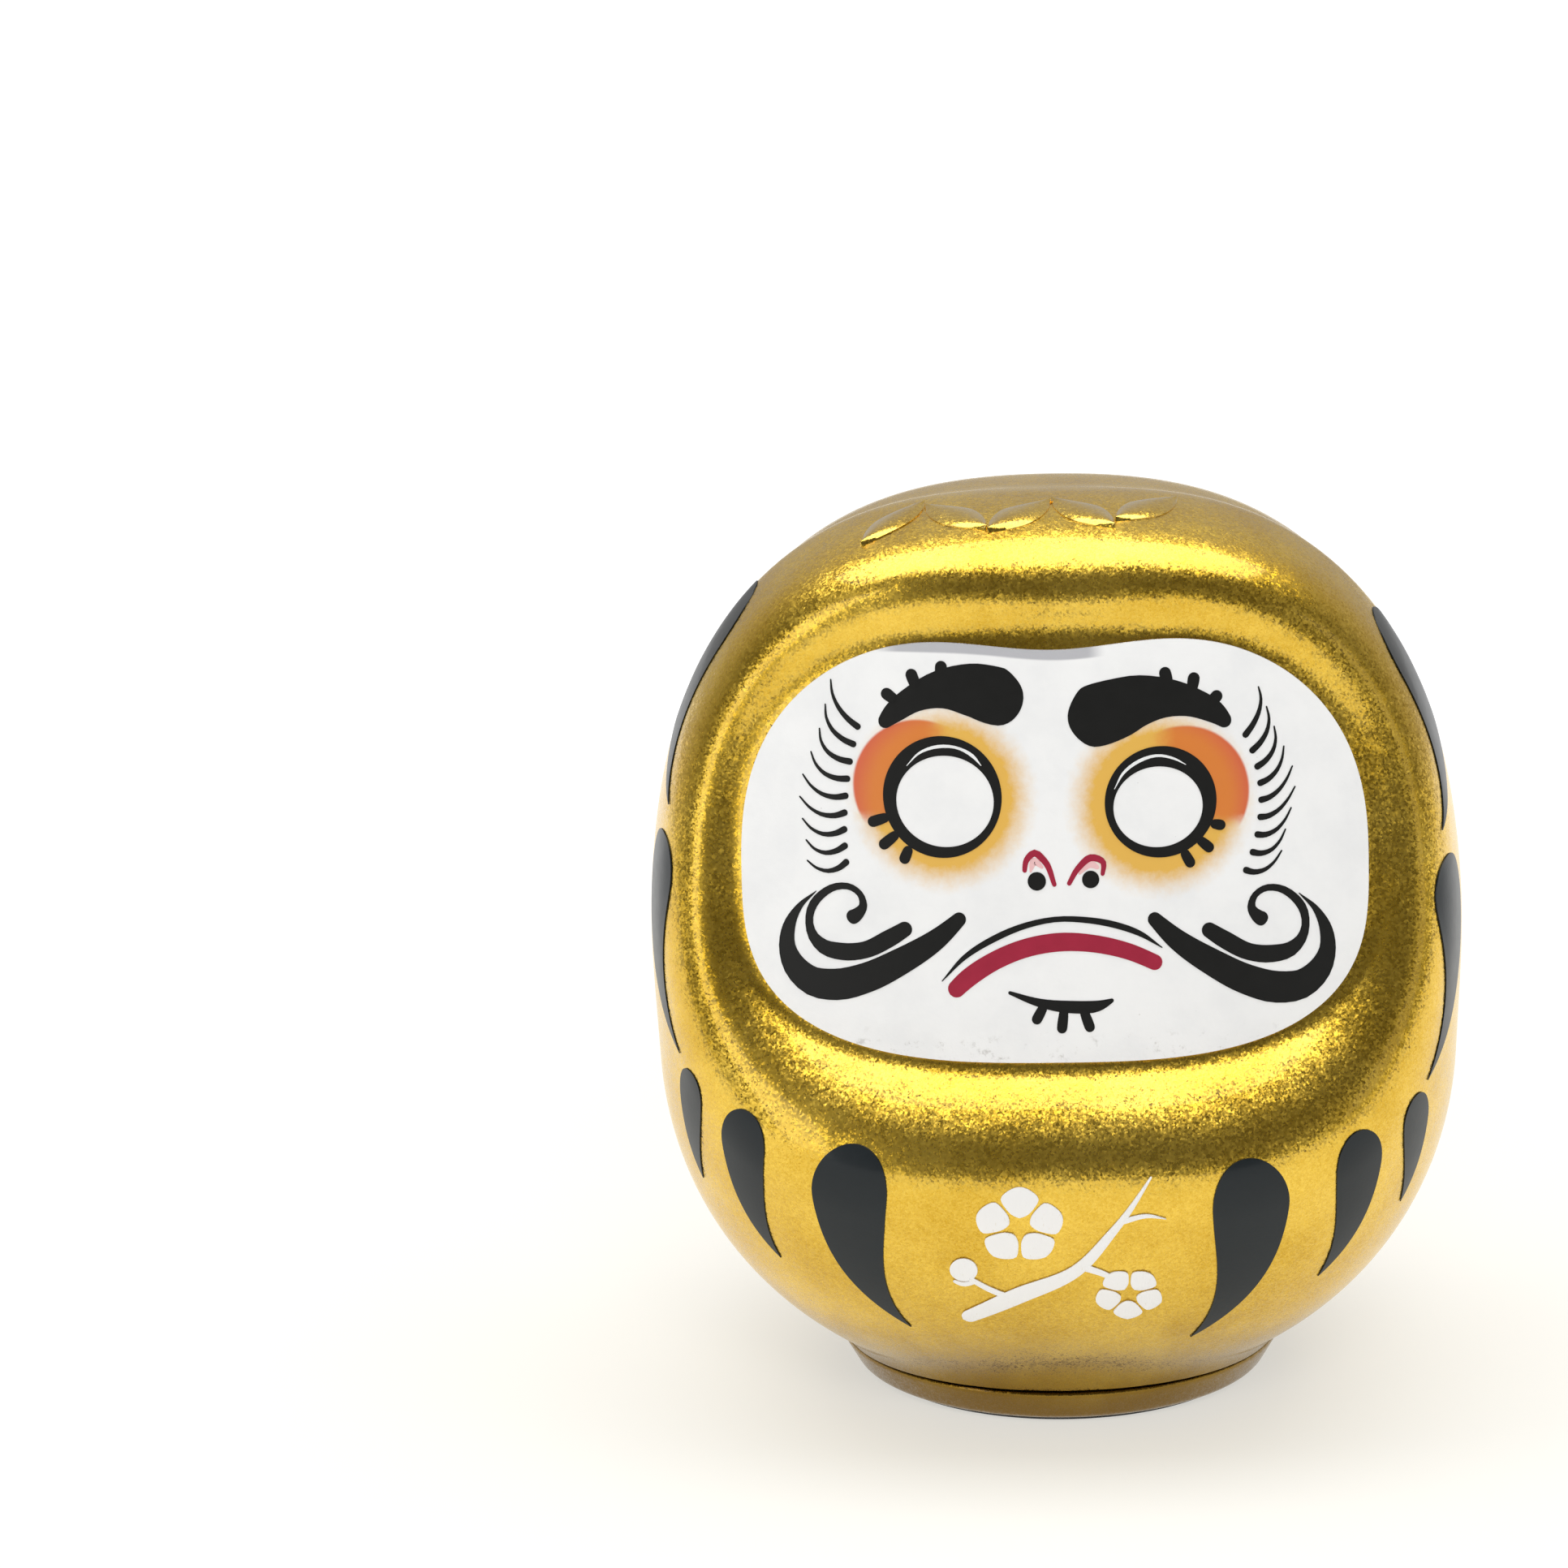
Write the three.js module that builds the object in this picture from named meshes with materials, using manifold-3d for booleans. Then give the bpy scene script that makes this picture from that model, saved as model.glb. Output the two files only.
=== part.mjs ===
// A daruma doll: two moulded half shells glued into a hollow body round a sunken face, a heavy foot glued
// under it, a felt cover under the foot, and the label, transfers and marks that lie on the outside.
// Millimetres, +Z up. The face looks along -Y, and the origin is the centre of the underside.

import * as THREE from 'three';
import { mergeVertices } from 'three/addons/utils/BufferGeometryUtils.js';
import Module from 'manifold-3d';

const wasm = await Module();
wasm.setup();

// ---------------------------------------------------------------- driving dimensions, mm

// The round of the body, as if it had neither face nor foot
const BODY = {
  halfWidth: 39.1,
  frontDepth: 37.2,
  backDepth: 37.2,
  widestZ: 34.3,
  topZ: 89.4,
  bottomZ: -0.9, // where the round of the belly would close under the foot
  crownPower: 2.77, // above 2 a rounder square, as the crown is
  bellyPower: 1.98,
  frontPower: 2.59, // plan section of the front half
  backPower: 2.2,
};

// The sunken face: its outline, its gently domed floor and the rolled rim round it
const FACE = {
  centreZ: 57,
  halfWidth: 30.2,
  topReach: 24,
  bottomReach: 17.9,
  topPower: 2.44,
  bottomPower: 3.14,
  brow: 3, // dip in the middle of the top edge
  browWidth: 11.7,
  floorY: -30.6, // middle of the floor at its lower edge
  lean: 0.176, // how far the floor leans back for each mm up
  domeRadius: 75,
  wallSlope: 0.9, // how far the recess wall widens for each mm forward
  rimRound: 8,
  floorFillet: 1,
  rimSwell: 1.9, // how far the rim stands proud of the round body
  rimOffset: 4, // from the outline out to the crest of the rim
  rimWidth: 7.5,
  rimRamp: 8, // how far forward of the middle the rim reaches its full height
};

// The rounder, fuller peak in the middle of the hood, just above the face
const PEAK = { round: 7, swell: 0.5, width: 8 };

const NECK = { radius: 21.5, rise: 14, blend: 3 };
const WALL = 2.4;
const SEAM_Y = 2; // where the front half meets the back half
const LAP = 3.5; // how far the front half's lip reaches into the back half
const FIT = 0.3; // clearance between the two halves
const MOUTH = { radius: 17.6, rise: 12 }; // the round opening that the foot's boss fills
const GLUE = 0.15; // a glue line or the bedding of a transfer

const FOOT = { topRadius: 22.3, radius: 20.4, height: 3.3, edge: 0.8, bossRise: 9, stickHole: 3, clearance: 0.4 };
const COVER = { radius: 19, thickness: 0.6 };
const LABEL = { margin: 0.9, thickness: 0.3 };
const FILM = 0.25; // thickness of a transfer
const VARNISH = 0.5; // height of the raised varnish on the crown

const FOOT_TOP = COVER.thickness + FOOT.height;
const SHELL_BOTTOM = FOOT_TOP + GLUE;

// The point that every ray to the surface starts from, well inside the body
const HEART = new THREE.Vector3(0, 5, FACE.centreZ);
const RAY_REACH = 75;
const RAY_STEPS = 40;
const TINY = 1e-6;
const WELD = 1e-4; // points closer together than this are one
const ROUND_SEGMENTS = 48; // of everything turned about the upright axis
const NECK_CROWDING = -0.45; // how strongly a skin's columns crowd towards the neck

// ---------------------------------------------------------------- the surface of the body

// Larger of two distances, with the edge between them rounded over the width k
function roundedMax(a, b, k) {
  const h = Math.max(k - Math.abs(a - b), 0) / k;
  return Math.max(a, b) + h * h * k * 0.25;
}

function roundedMin(a, b, k) {
  return -roundedMax(-a, -b, k);
}

// A superellipse norm of (u, v) and its slope, as { value, du, dv }
function norm(u, v, reachU, reachV, power) {
  const a = Math.max(Math.abs(u), TINY);
  const b = Math.max(Math.abs(v), TINY);
  const value = ((a / reachU) ** power + (b / reachV) ** power) ** (1 / power);
  const scale = value ** (1 - power);
  const du = scale * a ** (power - 1) / reachU ** power;
  const dv = scale * b ** (power - 1) / reachV ** power;
  return { value, du, dv };
}

// Distance outside the outline of the face, seen from the front
function outlineDistance(x, z) {
  const up = z > FACE.centreZ;
  const reach = up ? FACE.topReach : FACE.bottomReach;
  const power = up ? FACE.topPower : FACE.bottomPower;
  const rise = z - FACE.centreZ;
  const n = norm(x, rise, FACE.halfWidth, reach, power);
  const dip = up ? FACE.brow * (rise / reach) * Math.exp(-((x / FACE.browWidth) ** 2)) : 0;
  return (n.value - 1) / Math.hypot(n.du, n.dv) + dip;
}

function faceFloor(x, z) {
  return FACE.floorY + FACE.lean * (z - (FACE.centreZ - FACE.bottomReach)) + x * x / (2 * FACE.domeRadius);
}

// Distance outside the round body, before the face is sunk into it
function roundDistance(x, y, z) {
  const front = y < 0;
  const plan = norm(
    x, y, BODY.halfWidth, front ? BODY.frontDepth : BODY.backDepth, front ? BODY.frontPower : BODY.backPower,
  );
  const rise = z - BODY.widestZ;
  const reach = rise > 0 ? BODY.topZ - BODY.widestZ : BODY.widestZ - BODY.bottomZ;
  const n = norm(plan.value, rise, 1, reach, rise > 0 ? BODY.crownPower : BODY.bellyPower);
  const slope = Math.hypot(n.du * plan.du, n.du * plan.dv, n.dv);
  return (n.value - 1) / slope;
}

// Distance outside the finished body, face, rim and neck included
function bodyDistance(x, y, z) {
  const outline = outlineDistance(x, z);
  const front = THREE.MathUtils.smoothstep(-y, 0, FACE.rimRamp);
  const up = THREE.MathUtils.clamp((z - FACE.centreZ) / FACE.topReach, 0, 1);
  const peak = up * up * Math.exp(-((x / PEAK.width) ** 2));
  const crest = Math.exp(-(((outline - FACE.rimOffset) / FACE.rimWidth) ** 2));
  const swell = (FACE.rimSwell + PEAK.swell * peak) * front * crest;
  const neck = Math.max(Math.hypot(x, y) - NECK.radius, -z, z - NECK.rise);
  const round = roundedMin(roundDistance(x, y, z) - swell, neck, NECK.blend);
  const ahead = faceFloor(x, z) - y;
  const wallTilt = Math.atan(FACE.wallSlope);
  const wall = ahead * Math.sin(wallTilt) - outline * Math.cos(wallTilt);
  const recess = roundedMin(ahead, wall, FACE.floorFillet);
  return roundedMax(round, recess, FACE.rimRound + PEAK.round * peak);
}

// The point where a ray meets the surface that lies `depth` inside the body
function surfacePoint(origin, direction, depth = 0) {
  let near = 0;
  let far = RAY_REACH;
  for (let i = 0; i < RAY_STEPS; i += 1) {
    const middle = (near + far) / 2;
    const p = origin.clone().addScaledVector(direction, middle);
    if (bodyDistance(p.x, p.y, p.z) + depth < 0) near = middle;
    else far = middle;
  }
  return origin.clone().addScaledVector(direction, near);
}

// The point at a bearing round the body and a height, `proud` outside its surface; 0 faces the front
function bearingPoint(bearing, z, proud) {
  const axis = new THREE.Vector3(0, 0, z);
  const outward = new THREE.Vector3(Math.sin(bearing), -Math.cos(bearing), 0);
  return surfacePoint(axis, outward, -proud);
}

// ---------------------------------------------------------------- helpers for closed meshes

function welded(geometry) {
  const bare = geometry.clone();
  bare.deleteAttribute('normal');
  bare.deleteAttribute('uv');
  return mergeVertices(bare, WELD);
}

function toSolid(geometry) {
  const closed = welded(geometry);
  const vertProperties = Float32Array.from(closed.attributes.position.array);
  const triVerts = Uint32Array.from(closed.index.array);
  return new wasm.Manifold(new wasm.Mesh({ numProp: 3, vertProperties, triVerts }));
}

function fromSolid(solid) {
  const mesh = solid.getMesh();
  const geometry = new THREE.BufferGeometry();
  geometry.setAttribute('position', new THREE.BufferAttribute(Float32Array.from(mesh.vertProperties), 3));
  geometry.setIndex(new THREE.BufferAttribute(Uint32Array.from(mesh.triVerts), 1));
  geometry.computeVertexNormals();
  return geometry;
}

// Moves every vertex of a geometry by a function of its place
function moulded(geometry, place) {
  const closed = welded(geometry);
  const position = closed.attributes.position;
  for (let i = 0; i < position.count; i += 1) {
    const p = place(new THREE.Vector3().fromBufferAttribute(position, i));
    position.setXYZ(i, p.x, p.y, p.z);
  }
  closed.computeVertexNormals();
  return closed;
}

function named(name, geometry, colour, roughness, metalness) {
  const material = new THREE.MeshStandardMaterial({ color: colour, roughness, metalness });
  const mesh = new THREE.Mesh(geometry, material);
  mesh.name = name;
  return mesh;
}

const GOLD = ['#b8902a', 0.32, 0.85];
const BLACK = ['#20262a', 0.4, 0];
const WHITE = ['#e9e8e4', 0.35, 0];

// ---------------------------------------------------------------- shells

// Numbers in even steps after `from`, up to and including `to`
function steps(from, to, count) {
  return Array.from({ length: count }, (_, i) => from + (to - from) * (i + 1) / count);
}

// Where the rings of a skin lie: first as shares of the face's outline, then from there round to the back,
// closest together where the body narrows to the neck
const FINE = {
  around: 84,
  face: [0, 0.18, 0.36, 0.54, 0.71, 0.86, 0.97, 1, 1.03, 1.07, 1.11, 1.16, 1.22, 1.3],
  body: [...steps(0, 0.18, 5), ...steps(0.18, 0.56, 19), ...steps(0.56, 1, 5)],
};
const COARSE = {
  around: 44,
  face: [0, 0.5, 0.95, 1.03, 1.1, 1.2, 1.3],
  body: [...steps(0, 0.56, 10), ...steps(0.56, 1, 3)],
};

// How far the outline of the face reaches from its centre at an angle to the right
function outlineReach(angle) {
  const across = Math.cos(angle);
  const rise = Math.sin(angle);
  let near = 0;
  let far = 2 * FACE.halfWidth;
  for (let i = 0; i < RAY_STEPS; i += 1) {
    const middle = (near + far) / 2;
    if (outlineDistance(middle * across, FACE.centreZ + middle * rise) < 0) near = middle;
    else far = middle;
  }
  return near;
}

// Direction from the heart to a point of the face's floor, at a share of the outline's reach
function towardsFace(angle, share) {
  const reach = share * outlineReach(angle);
  const x = reach * Math.cos(angle);
  const z = FACE.centreZ + reach * Math.sin(angle);
  return new THREE.Vector3(x, faceFloor(x, z), z).sub(HEART).normalize();
}

// Direction of one ring at one angle, the rings past the face turning evenly round to the back
function skinDirection(rings, ring, angle) {
  if (ring < rings.face.length) return towardsFace(angle, rings.face[ring]);
  const edge = towardsFace(angle, rings.face[rings.face.length - 1]);
  const start = Math.acos(-edge.y);
  const polar = start + (Math.PI - start) * rings.body[ring - rings.face.length];
  const side = new THREE.Vector3(edge.x, 0, edge.z).normalize();
  return side.multiplyScalar(Math.sin(polar)).setY(-Math.cos(polar));
}

// A closed skin `depth` inside the body, with more of its columns down where the body narrows to the neck
function skin(depth, rings) {
  const count = rings.face.length + rings.body.length;
  const profile = Array.from({ length: count }, (_, i) => new THREE.Vector2(1, i));
  profile[0].x = 0;
  profile[count - 1].x = 0;
  const lathe = new THREE.LatheGeometry(profile, rings.around);
  return toSolid(moulded(lathe, (p) => {
    const turn = Math.atan2(p.z, p.x);
    const angle = turn + NECK_CROWDING * Math.cos(turn);
    return surfacePoint(HEART, skinDirection(rings, Math.round(p.y), angle), depth);
  }));
}

function halfSpace(fromY, toY, bottomZ) {
  const size = 4 * BODY.topZ;
  const box = new THREE.BoxGeometry(size, toY - fromY, size);
  box.translate(0, (fromY + toY) / 2, bottomZ + size / 2);
  return toSolid(box);
}

function shells() {
  const far = 2 * BODY.halfWidth;
  const mouth = new THREE.CylinderGeometry(MOUTH.radius, MOUTH.radius, MOUTH.rise, ROUND_SEGMENTS);
  mouth.rotateX(Math.PI / 2);
  mouth.translate(0, 0, SHELL_BOTTOM + MOUTH.rise / 2 - GLUE * 2);
  const hollow = skin(WALL, COARSE).add(toSolid(mouth));
  const wall = skin(0, FINE).subtract(hollow);
  const lip = skin(WALL / 2 + FIT / 2, COARSE).subtract(hollow);
  const rebate = skin(WALL / 2 - FIT / 2, COARSE);
  const front = wall.intersect(halfSpace(-far, SEAM_Y, SHELL_BOTTOM));
  const frontLip = lip.intersect(halfSpace(SEAM_Y - WALL, SEAM_Y + LAP, SHELL_BOTTOM));
  const back = wall.intersect(halfSpace(SEAM_Y + GLUE, far, SHELL_BOTTOM));
  const backCut = rebate.intersect(halfSpace(SEAM_Y - WALL, SEAM_Y + LAP + FIT, -far));
  return [
    named('front_shell', fromSolid(front.add(frontLip)), ...GOLD),
    named('back_shell', fromSolid(back.subtract(backCut)), ...GOLD),
  ];
}

// ---------------------------------------------------------------- foot and cover

// A heavy disc whose boss fills the mouth of the body, with the painter's stick hole up its middle
function foot() {
  const boss = MOUTH.radius - FOOT.clearance;
  const bottom = COVER.thickness;
  const rounded = (radius, z, from, to) => Array.from({ length: 4 }, (_, i) => {
    const turn = THREE.MathUtils.degToRad(from + (to - from) * i / 3);
    return new THREE.Vector2(radius + FOOT.edge * Math.cos(turn), z + FOOT.edge * Math.sin(turn));
  });
  const profile = [
    new THREE.Vector2(FOOT.stickHole, bottom),
    ...rounded(FOOT.radius - FOOT.edge, bottom + FOOT.edge, -90, 0),
    ...rounded(FOOT.topRadius - FOOT.edge, FOOT_TOP - FOOT.edge, 0, 90),
    new THREE.Vector2(boss, FOOT_TOP),
    ...rounded(boss - FOOT.edge, FOOT_TOP + FOOT.bossRise - FOOT.edge, 0, 90),
    new THREE.Vector2(FOOT.stickHole, FOOT_TOP + FOOT.bossRise),
    new THREE.Vector2(FOOT.stickHole, bottom),
  ];
  const lathe = new THREE.LatheGeometry(profile, ROUND_SEGMENTS);
  lathe.rotateX(Math.PI / 2);
  return named('foot_weight', lathe, ...GOLD);
}

function baseCover() {
  const disc = new THREE.CylinderGeometry(COVER.radius, COVER.radius, COVER.thickness, ROUND_SEGMENTS);
  disc.rotateX(Math.PI / 2);
  disc.translate(0, 0, COVER.thickness / 2);
  return named('base_cover', disc, '#2b2b2b', 0.95, 0);
}

// ---------------------------------------------------------------- face label

// A thin sheet on the floor of the recess, a margin inside its outline
function faceLabel() {
  const rings = 6;
  const printed = Array.from({ length: rings + 1 }, (_, i) => new THREE.Vector2(i / rings, 1));
  const glued = Array.from({ length: rings + 1 }, (_, i) => new THREE.Vector2(1 - i / rings, 0));
  const lathe = new THREE.LatheGeometry([...printed, ...glued], 60);
  const sheet = moulded(lathe, (p) => {
    const turn = Math.atan2(p.z, p.x);
    const reach = (outlineReach(turn) - LABEL.margin) * Math.hypot(p.x, p.z);
    const x = reach * Math.cos(turn);
    const z = FACE.centreZ + reach * Math.sin(turn);
    return new THREE.Vector3(x, faceFloor(x, z) - GLUE - LABEL.thickness * p.y, z);
  });
  return named('face_label', sheet, ...WHITE);
}

// ---------------------------------------------------------------- films and marks on the outside

// Lays a closed flat form on the body. `place` gives each point its run across and its height, and the
// form's own z, from -0.5 to 0.5, becomes its thickness. The film keeps two glue lines off the body.
function laidOnBody(geometry, centreBearing, thickness, place) {
  return moulded(geometry, (p) => {
    const { across, height } = place(p);
    const level = bearingPoint(centreBearing, height, 0);
    const bearing = centreBearing + across / Math.hypot(level.x, level.y);
    return bearingPoint(bearing, height, 2 * GLUE + thickness * (p.z + 0.5));
  });
}

// A lens or a disc of unit size whose rows crowd towards both of its round ends
function unitFilm(columns, rows) {
  const box = new THREE.BoxGeometry(2, 1, 1, columns, rows, 1);
  const position = box.attributes.position;
  for (let i = 0; i < position.count; i += 1) {
    position.setY(i, Math.sin(Math.PI * position.getY(i)) / 2);
  }
  return box;
}

// Each flame: bearing of its head, height of its top, how far down it runs, the width of its head, how far
// its tail bulges away from the face on the way down, and how far away from the face its tip ends
const FLAMES = [
  { name: 'lower_front', bearing: 27.7, top: 32.4, drop: 20.3, width: 7.4, bulge: 1.6, tip: -1 },
  { name: 'lower_middle', bearing: 43.9, top: 34, drop: 15.8, width: 5.7, bulge: 1.1, tip: 0.2 },
  { name: 'lower_back', bearing: 55.2, top: 36, drop: 11.7, width: 4.9, bulge: 0.6, tip: 1.6 },
  { name: 'side_middle', bearing: 66.5, top: 57.5, drop: 20.5, width: 8.4, bulge: 2, tip: -6.5 },
  { name: 'side_upper', bearing: 74, top: 80, drop: 20, width: 9.5, bulge: 2, tip: -6 },
];
const FLAME_HEAD = 0.24; // share of a flame's length at which its head is widest
const FLAME_TAPER = 1.5; // above 1 the tail stays full for longer before it narrows
const FLAME_TIP = 0.03; // width of its tip, as a share of the head's
const BULGE_SCALE = 27 / 4; // makes the bulge curve t * t * (1 - t) peak at 1

// The transfers were put on by hand, a little turned round the body and a little aslant
const TRANSFER = { turn: -1.1, slant: 0.042 };

// A comma on the side of the body: a round head above and a tail that bulges and swings to its tip
function flame(side, spec) {
  const bearing = THREE.MathUtils.degToRad(spec.bearing * side + TRANSFER.turn);
  const top = spec.top - TRANSFER.slant * BODY.halfWidth * Math.sin(bearing);
  const film = laidOnBody(unitFilm(4, 14), bearing, FILM, (p) => {
    const along = 0.5 - p.y;
    const head = Math.sqrt(Math.max(1 - (1 - along / FLAME_HEAD) ** 2, 0));
    const tail = 1 - ((along - FLAME_HEAD) / (1 - FLAME_HEAD)) ** FLAME_TAPER;
    const half = Math.max(along < FLAME_HEAD ? head : tail, FLAME_TIP) / 2;
    const away = along * along * (spec.bulge * BULGE_SCALE * (1 - along) + spec.tip);
    return { across: spec.width * p.x * half + side * away, height: top - spec.drop * along };
  });
  return named(`flame_${spec.name}_${side < 0 ? 'left' : 'right'}`, film, ...BLACK);
}

// The painted sprig on the belly: run across from the middle, and height, of what it is made of
const BRANCH = [[-9, 14.5], [-4, 17.5], [1.5, 20.5], [5, 25], [8.5, 30.5]];
const BRANCH_WIDTH = 1.8;
const BRANCH_TAPER = 0.75; // share of its width the branch loses on the way up
const PETALS = { count: 5, pinch: 0.32 };
const BLOSSOMS = [
  { name: 'belly_blossom_large', across: -3.6, height: 25.6, radius: 4.4 },
  { name: 'belly_blossom_small', across: 6.4, height: 17.6, radius: 3.4 },
];
const BUD = { name: 'belly_bud', across: -8.6, height: 20.4, radius: 1.5, pinch: 0.3 };

function bellyBranch() {
  const curve = new THREE.CatmullRomCurve3(BRANCH.map(([across, height]) => new THREE.Vector3(across, height, 0)));
  const box = new THREE.BoxGeometry(1, 1, 1, 20, 1, 1);
  const paint = laidOnBody(box, 0, FILM, (p) => {
    const along = p.x + 0.5;
    const at = curve.getPointAt(along);
    const tangent = curve.getTangentAt(along);
    const width = BRANCH_WIDTH * (1 - BRANCH_TAPER * along) * p.y;
    return { across: at.x - tangent.y * width, height: at.y + tangent.x * width };
  });
  return named('belly_branch', paint, ...WHITE);
}

// A round of `petals` lobes, drawn as a disc whose rim swells and pinches
function petalled(spec, petals, pinch) {
  const profile = [[0, -0.5], [0.5, -0.5], [1, -0.5], [1, 0.5], [0.5, 0.5], [0, 0.5]];
  const disc = new THREE.LatheGeometry(profile.map(([x, y]) => new THREE.Vector2(x, y)), 40);
  disc.rotateX(Math.PI / 2);
  const paint = laidOnBody(disc, 0, FILM, (p) => {
    const turn = Math.atan2(p.y, p.x);
    const reach = spec.radius * (1 - pinch * (1 - Math.abs(Math.cos(petals * turn / 2))));
    return { across: spec.across + reach * p.x, height: spec.height + reach * p.y };
  });
  return named(spec.name, paint, ...WHITE);
}

// The raised varnish on the crown: a row of leaves, leaning to and fro, along an arc that bows to the front
const LEAVES = {
  count: 5, across: -2.8, pitch: 6, forward: 14.5, bow: 0.012, turn: 0.85, length: 9, width: 4, tip: 0.04,
};

function crownLeaf(index) {
  const middle = (index - (LEAVES.count - 1) / 2) * LEAVES.pitch;
  const angle = index % 2 === 0 ? LEAVES.turn : -LEAVES.turn;
  const relief = moulded(unitFilm(4, 8), (p) => {
    const half = (LEAVES.width / 2) * Math.max(Math.cos(Math.PI * p.y), LEAVES.tip) * p.x;
    const run = LEAVES.length * p.y;
    const x = LEAVES.across + middle + run * Math.cos(angle) + half * Math.sin(angle);
    const y = -LEAVES.forward + LEAVES.bow * middle * middle + run * Math.sin(angle) - half * Math.cos(angle);
    const below = new THREE.Vector3(x, y, BODY.widestZ);
    const depth = -2 * GLUE - VARNISH * (p.z + 0.5);
    return surfacePoint(below, new THREE.Vector3(0, 0, 1), depth);
  });
  return named(`crown_leaf_${index + 1}`, relief, '#d8b45a', 0.08, 0);
}

// ---------------------------------------------------------------- assembly

const doll = new THREE.Group();
doll.add(...shells(), foot(), baseCover(), faceLabel());
for (const side of [-1, 1]) {
  for (const spec of FLAMES) doll.add(flame(side, spec));
}
doll.add(bellyBranch(), petalled(BUD, 1, BUD.pinch));
for (const spec of BLOSSOMS) doll.add(petalled(spec, PETALS.count, PETALS.pinch));
for (let index = 0; index < LEAVES.count; index += 1) doll.add(crownLeaf(index));

export default doll;
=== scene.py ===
"""A gold daruma doll, finished over its frame of fitted solids.

The body is one lacquered, hollow form with a sunken face. Everything printed, painted or glued on it
lies on the same surface, so each sub-assembly asks the body's form where that surface is.
"""

import logging
import math
from dataclasses import dataclass
from enum import Enum
from typing import Any, Callable, Sequence

import bmesh
import bpy
import numpy as np
from mathutils import Matrix, Vector


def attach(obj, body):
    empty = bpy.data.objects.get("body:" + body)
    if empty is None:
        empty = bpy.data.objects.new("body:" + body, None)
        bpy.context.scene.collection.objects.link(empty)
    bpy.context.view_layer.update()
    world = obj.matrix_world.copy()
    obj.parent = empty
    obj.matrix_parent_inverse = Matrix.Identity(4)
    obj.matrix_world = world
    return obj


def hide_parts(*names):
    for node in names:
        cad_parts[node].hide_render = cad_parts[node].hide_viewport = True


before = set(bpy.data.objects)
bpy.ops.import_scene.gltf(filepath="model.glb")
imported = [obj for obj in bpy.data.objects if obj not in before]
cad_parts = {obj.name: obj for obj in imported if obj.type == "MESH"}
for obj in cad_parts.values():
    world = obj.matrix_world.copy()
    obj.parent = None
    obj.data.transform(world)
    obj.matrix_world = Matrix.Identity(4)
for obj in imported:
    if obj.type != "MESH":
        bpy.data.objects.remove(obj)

MM = 0.001
BODY = "root"
LOG = logging.getLogger("daruma")

Array = np.ndarray
Pair = tuple[float, float]
Triple = tuple[float, float, float]
Colour = tuple[float, float, float, float]
Flat = Callable[[Array, Array], tuple[Array, Array]]
Mesh = bmesh.types.BMesh
Face = bmesh.types.BMFace
Material = bpy.types.Material
Socket = bpy.types.NodeSocket
Piece = bpy.types.Object
HALVINGS = 36
FAR_OUTSIDE = 75.0
SHARP_ANGLE = 40.0
WHITE = (1.0, 1.0, 1.0, 1.0)


# ---------------------------------------------------------------- the form of the body, in millimetres


def rounded_max(a: Array, b: Array, width: float) -> Array:
    """Return the larger of two distances with the edge between them rounded over a width."""
    blend = np.maximum(width - np.abs(a - b), 0.0) / width
    return np.maximum(a, b) + blend * blend * width * 0.25


def rounded_min(a: Array, b: Array, width: float) -> Array:
    """Return the smaller of two distances with the hollow between them rounded over a width."""
    return -rounded_max(-a, -b, width)


def norm(u: Array, v: Array, reach_u: Array, reach_v: Array, power: Array) -> tuple[Array, Array, Array]:
    """Measure (u, v) against a superellipse.

    Args:
        u: Run along the first axis.
        v: Run along the second axis.
        reach_u: Half axis along u.
        reach_v: Half axis along v.
        power: Exponent of the superellipse.

    Returns:
        The norm, 1 on the superellipse, and its slopes along u and v.
    """
    a = np.maximum(np.abs(u), 1e-6)
    b = np.maximum(np.abs(v), 1e-6)
    value = ((a / reach_u) ** power + (b / reach_v) ** power) ** (1 / power)
    scale = value ** (1 - power)
    return value, scale * a ** (power - 1) / reach_u**power, scale * b ** (power - 1) / reach_v**power


def last_inside(inside: Callable[[Array], Array], far: Array) -> Array:
    """Find by halving how far each run goes before it leaves a shape.

    Args:
        inside: Tells which runs still end inside the shape.
        far: Runs that end outside it.

    Returns:
        The longest runs that end inside.
    """
    near = np.zeros_like(far)
    for _ in range(HALVINGS):
        middle = (near + far) / 2
        within = inside(middle)
        near = np.where(within, middle, near)
        far = np.where(within, far, middle)
    return near


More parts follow.
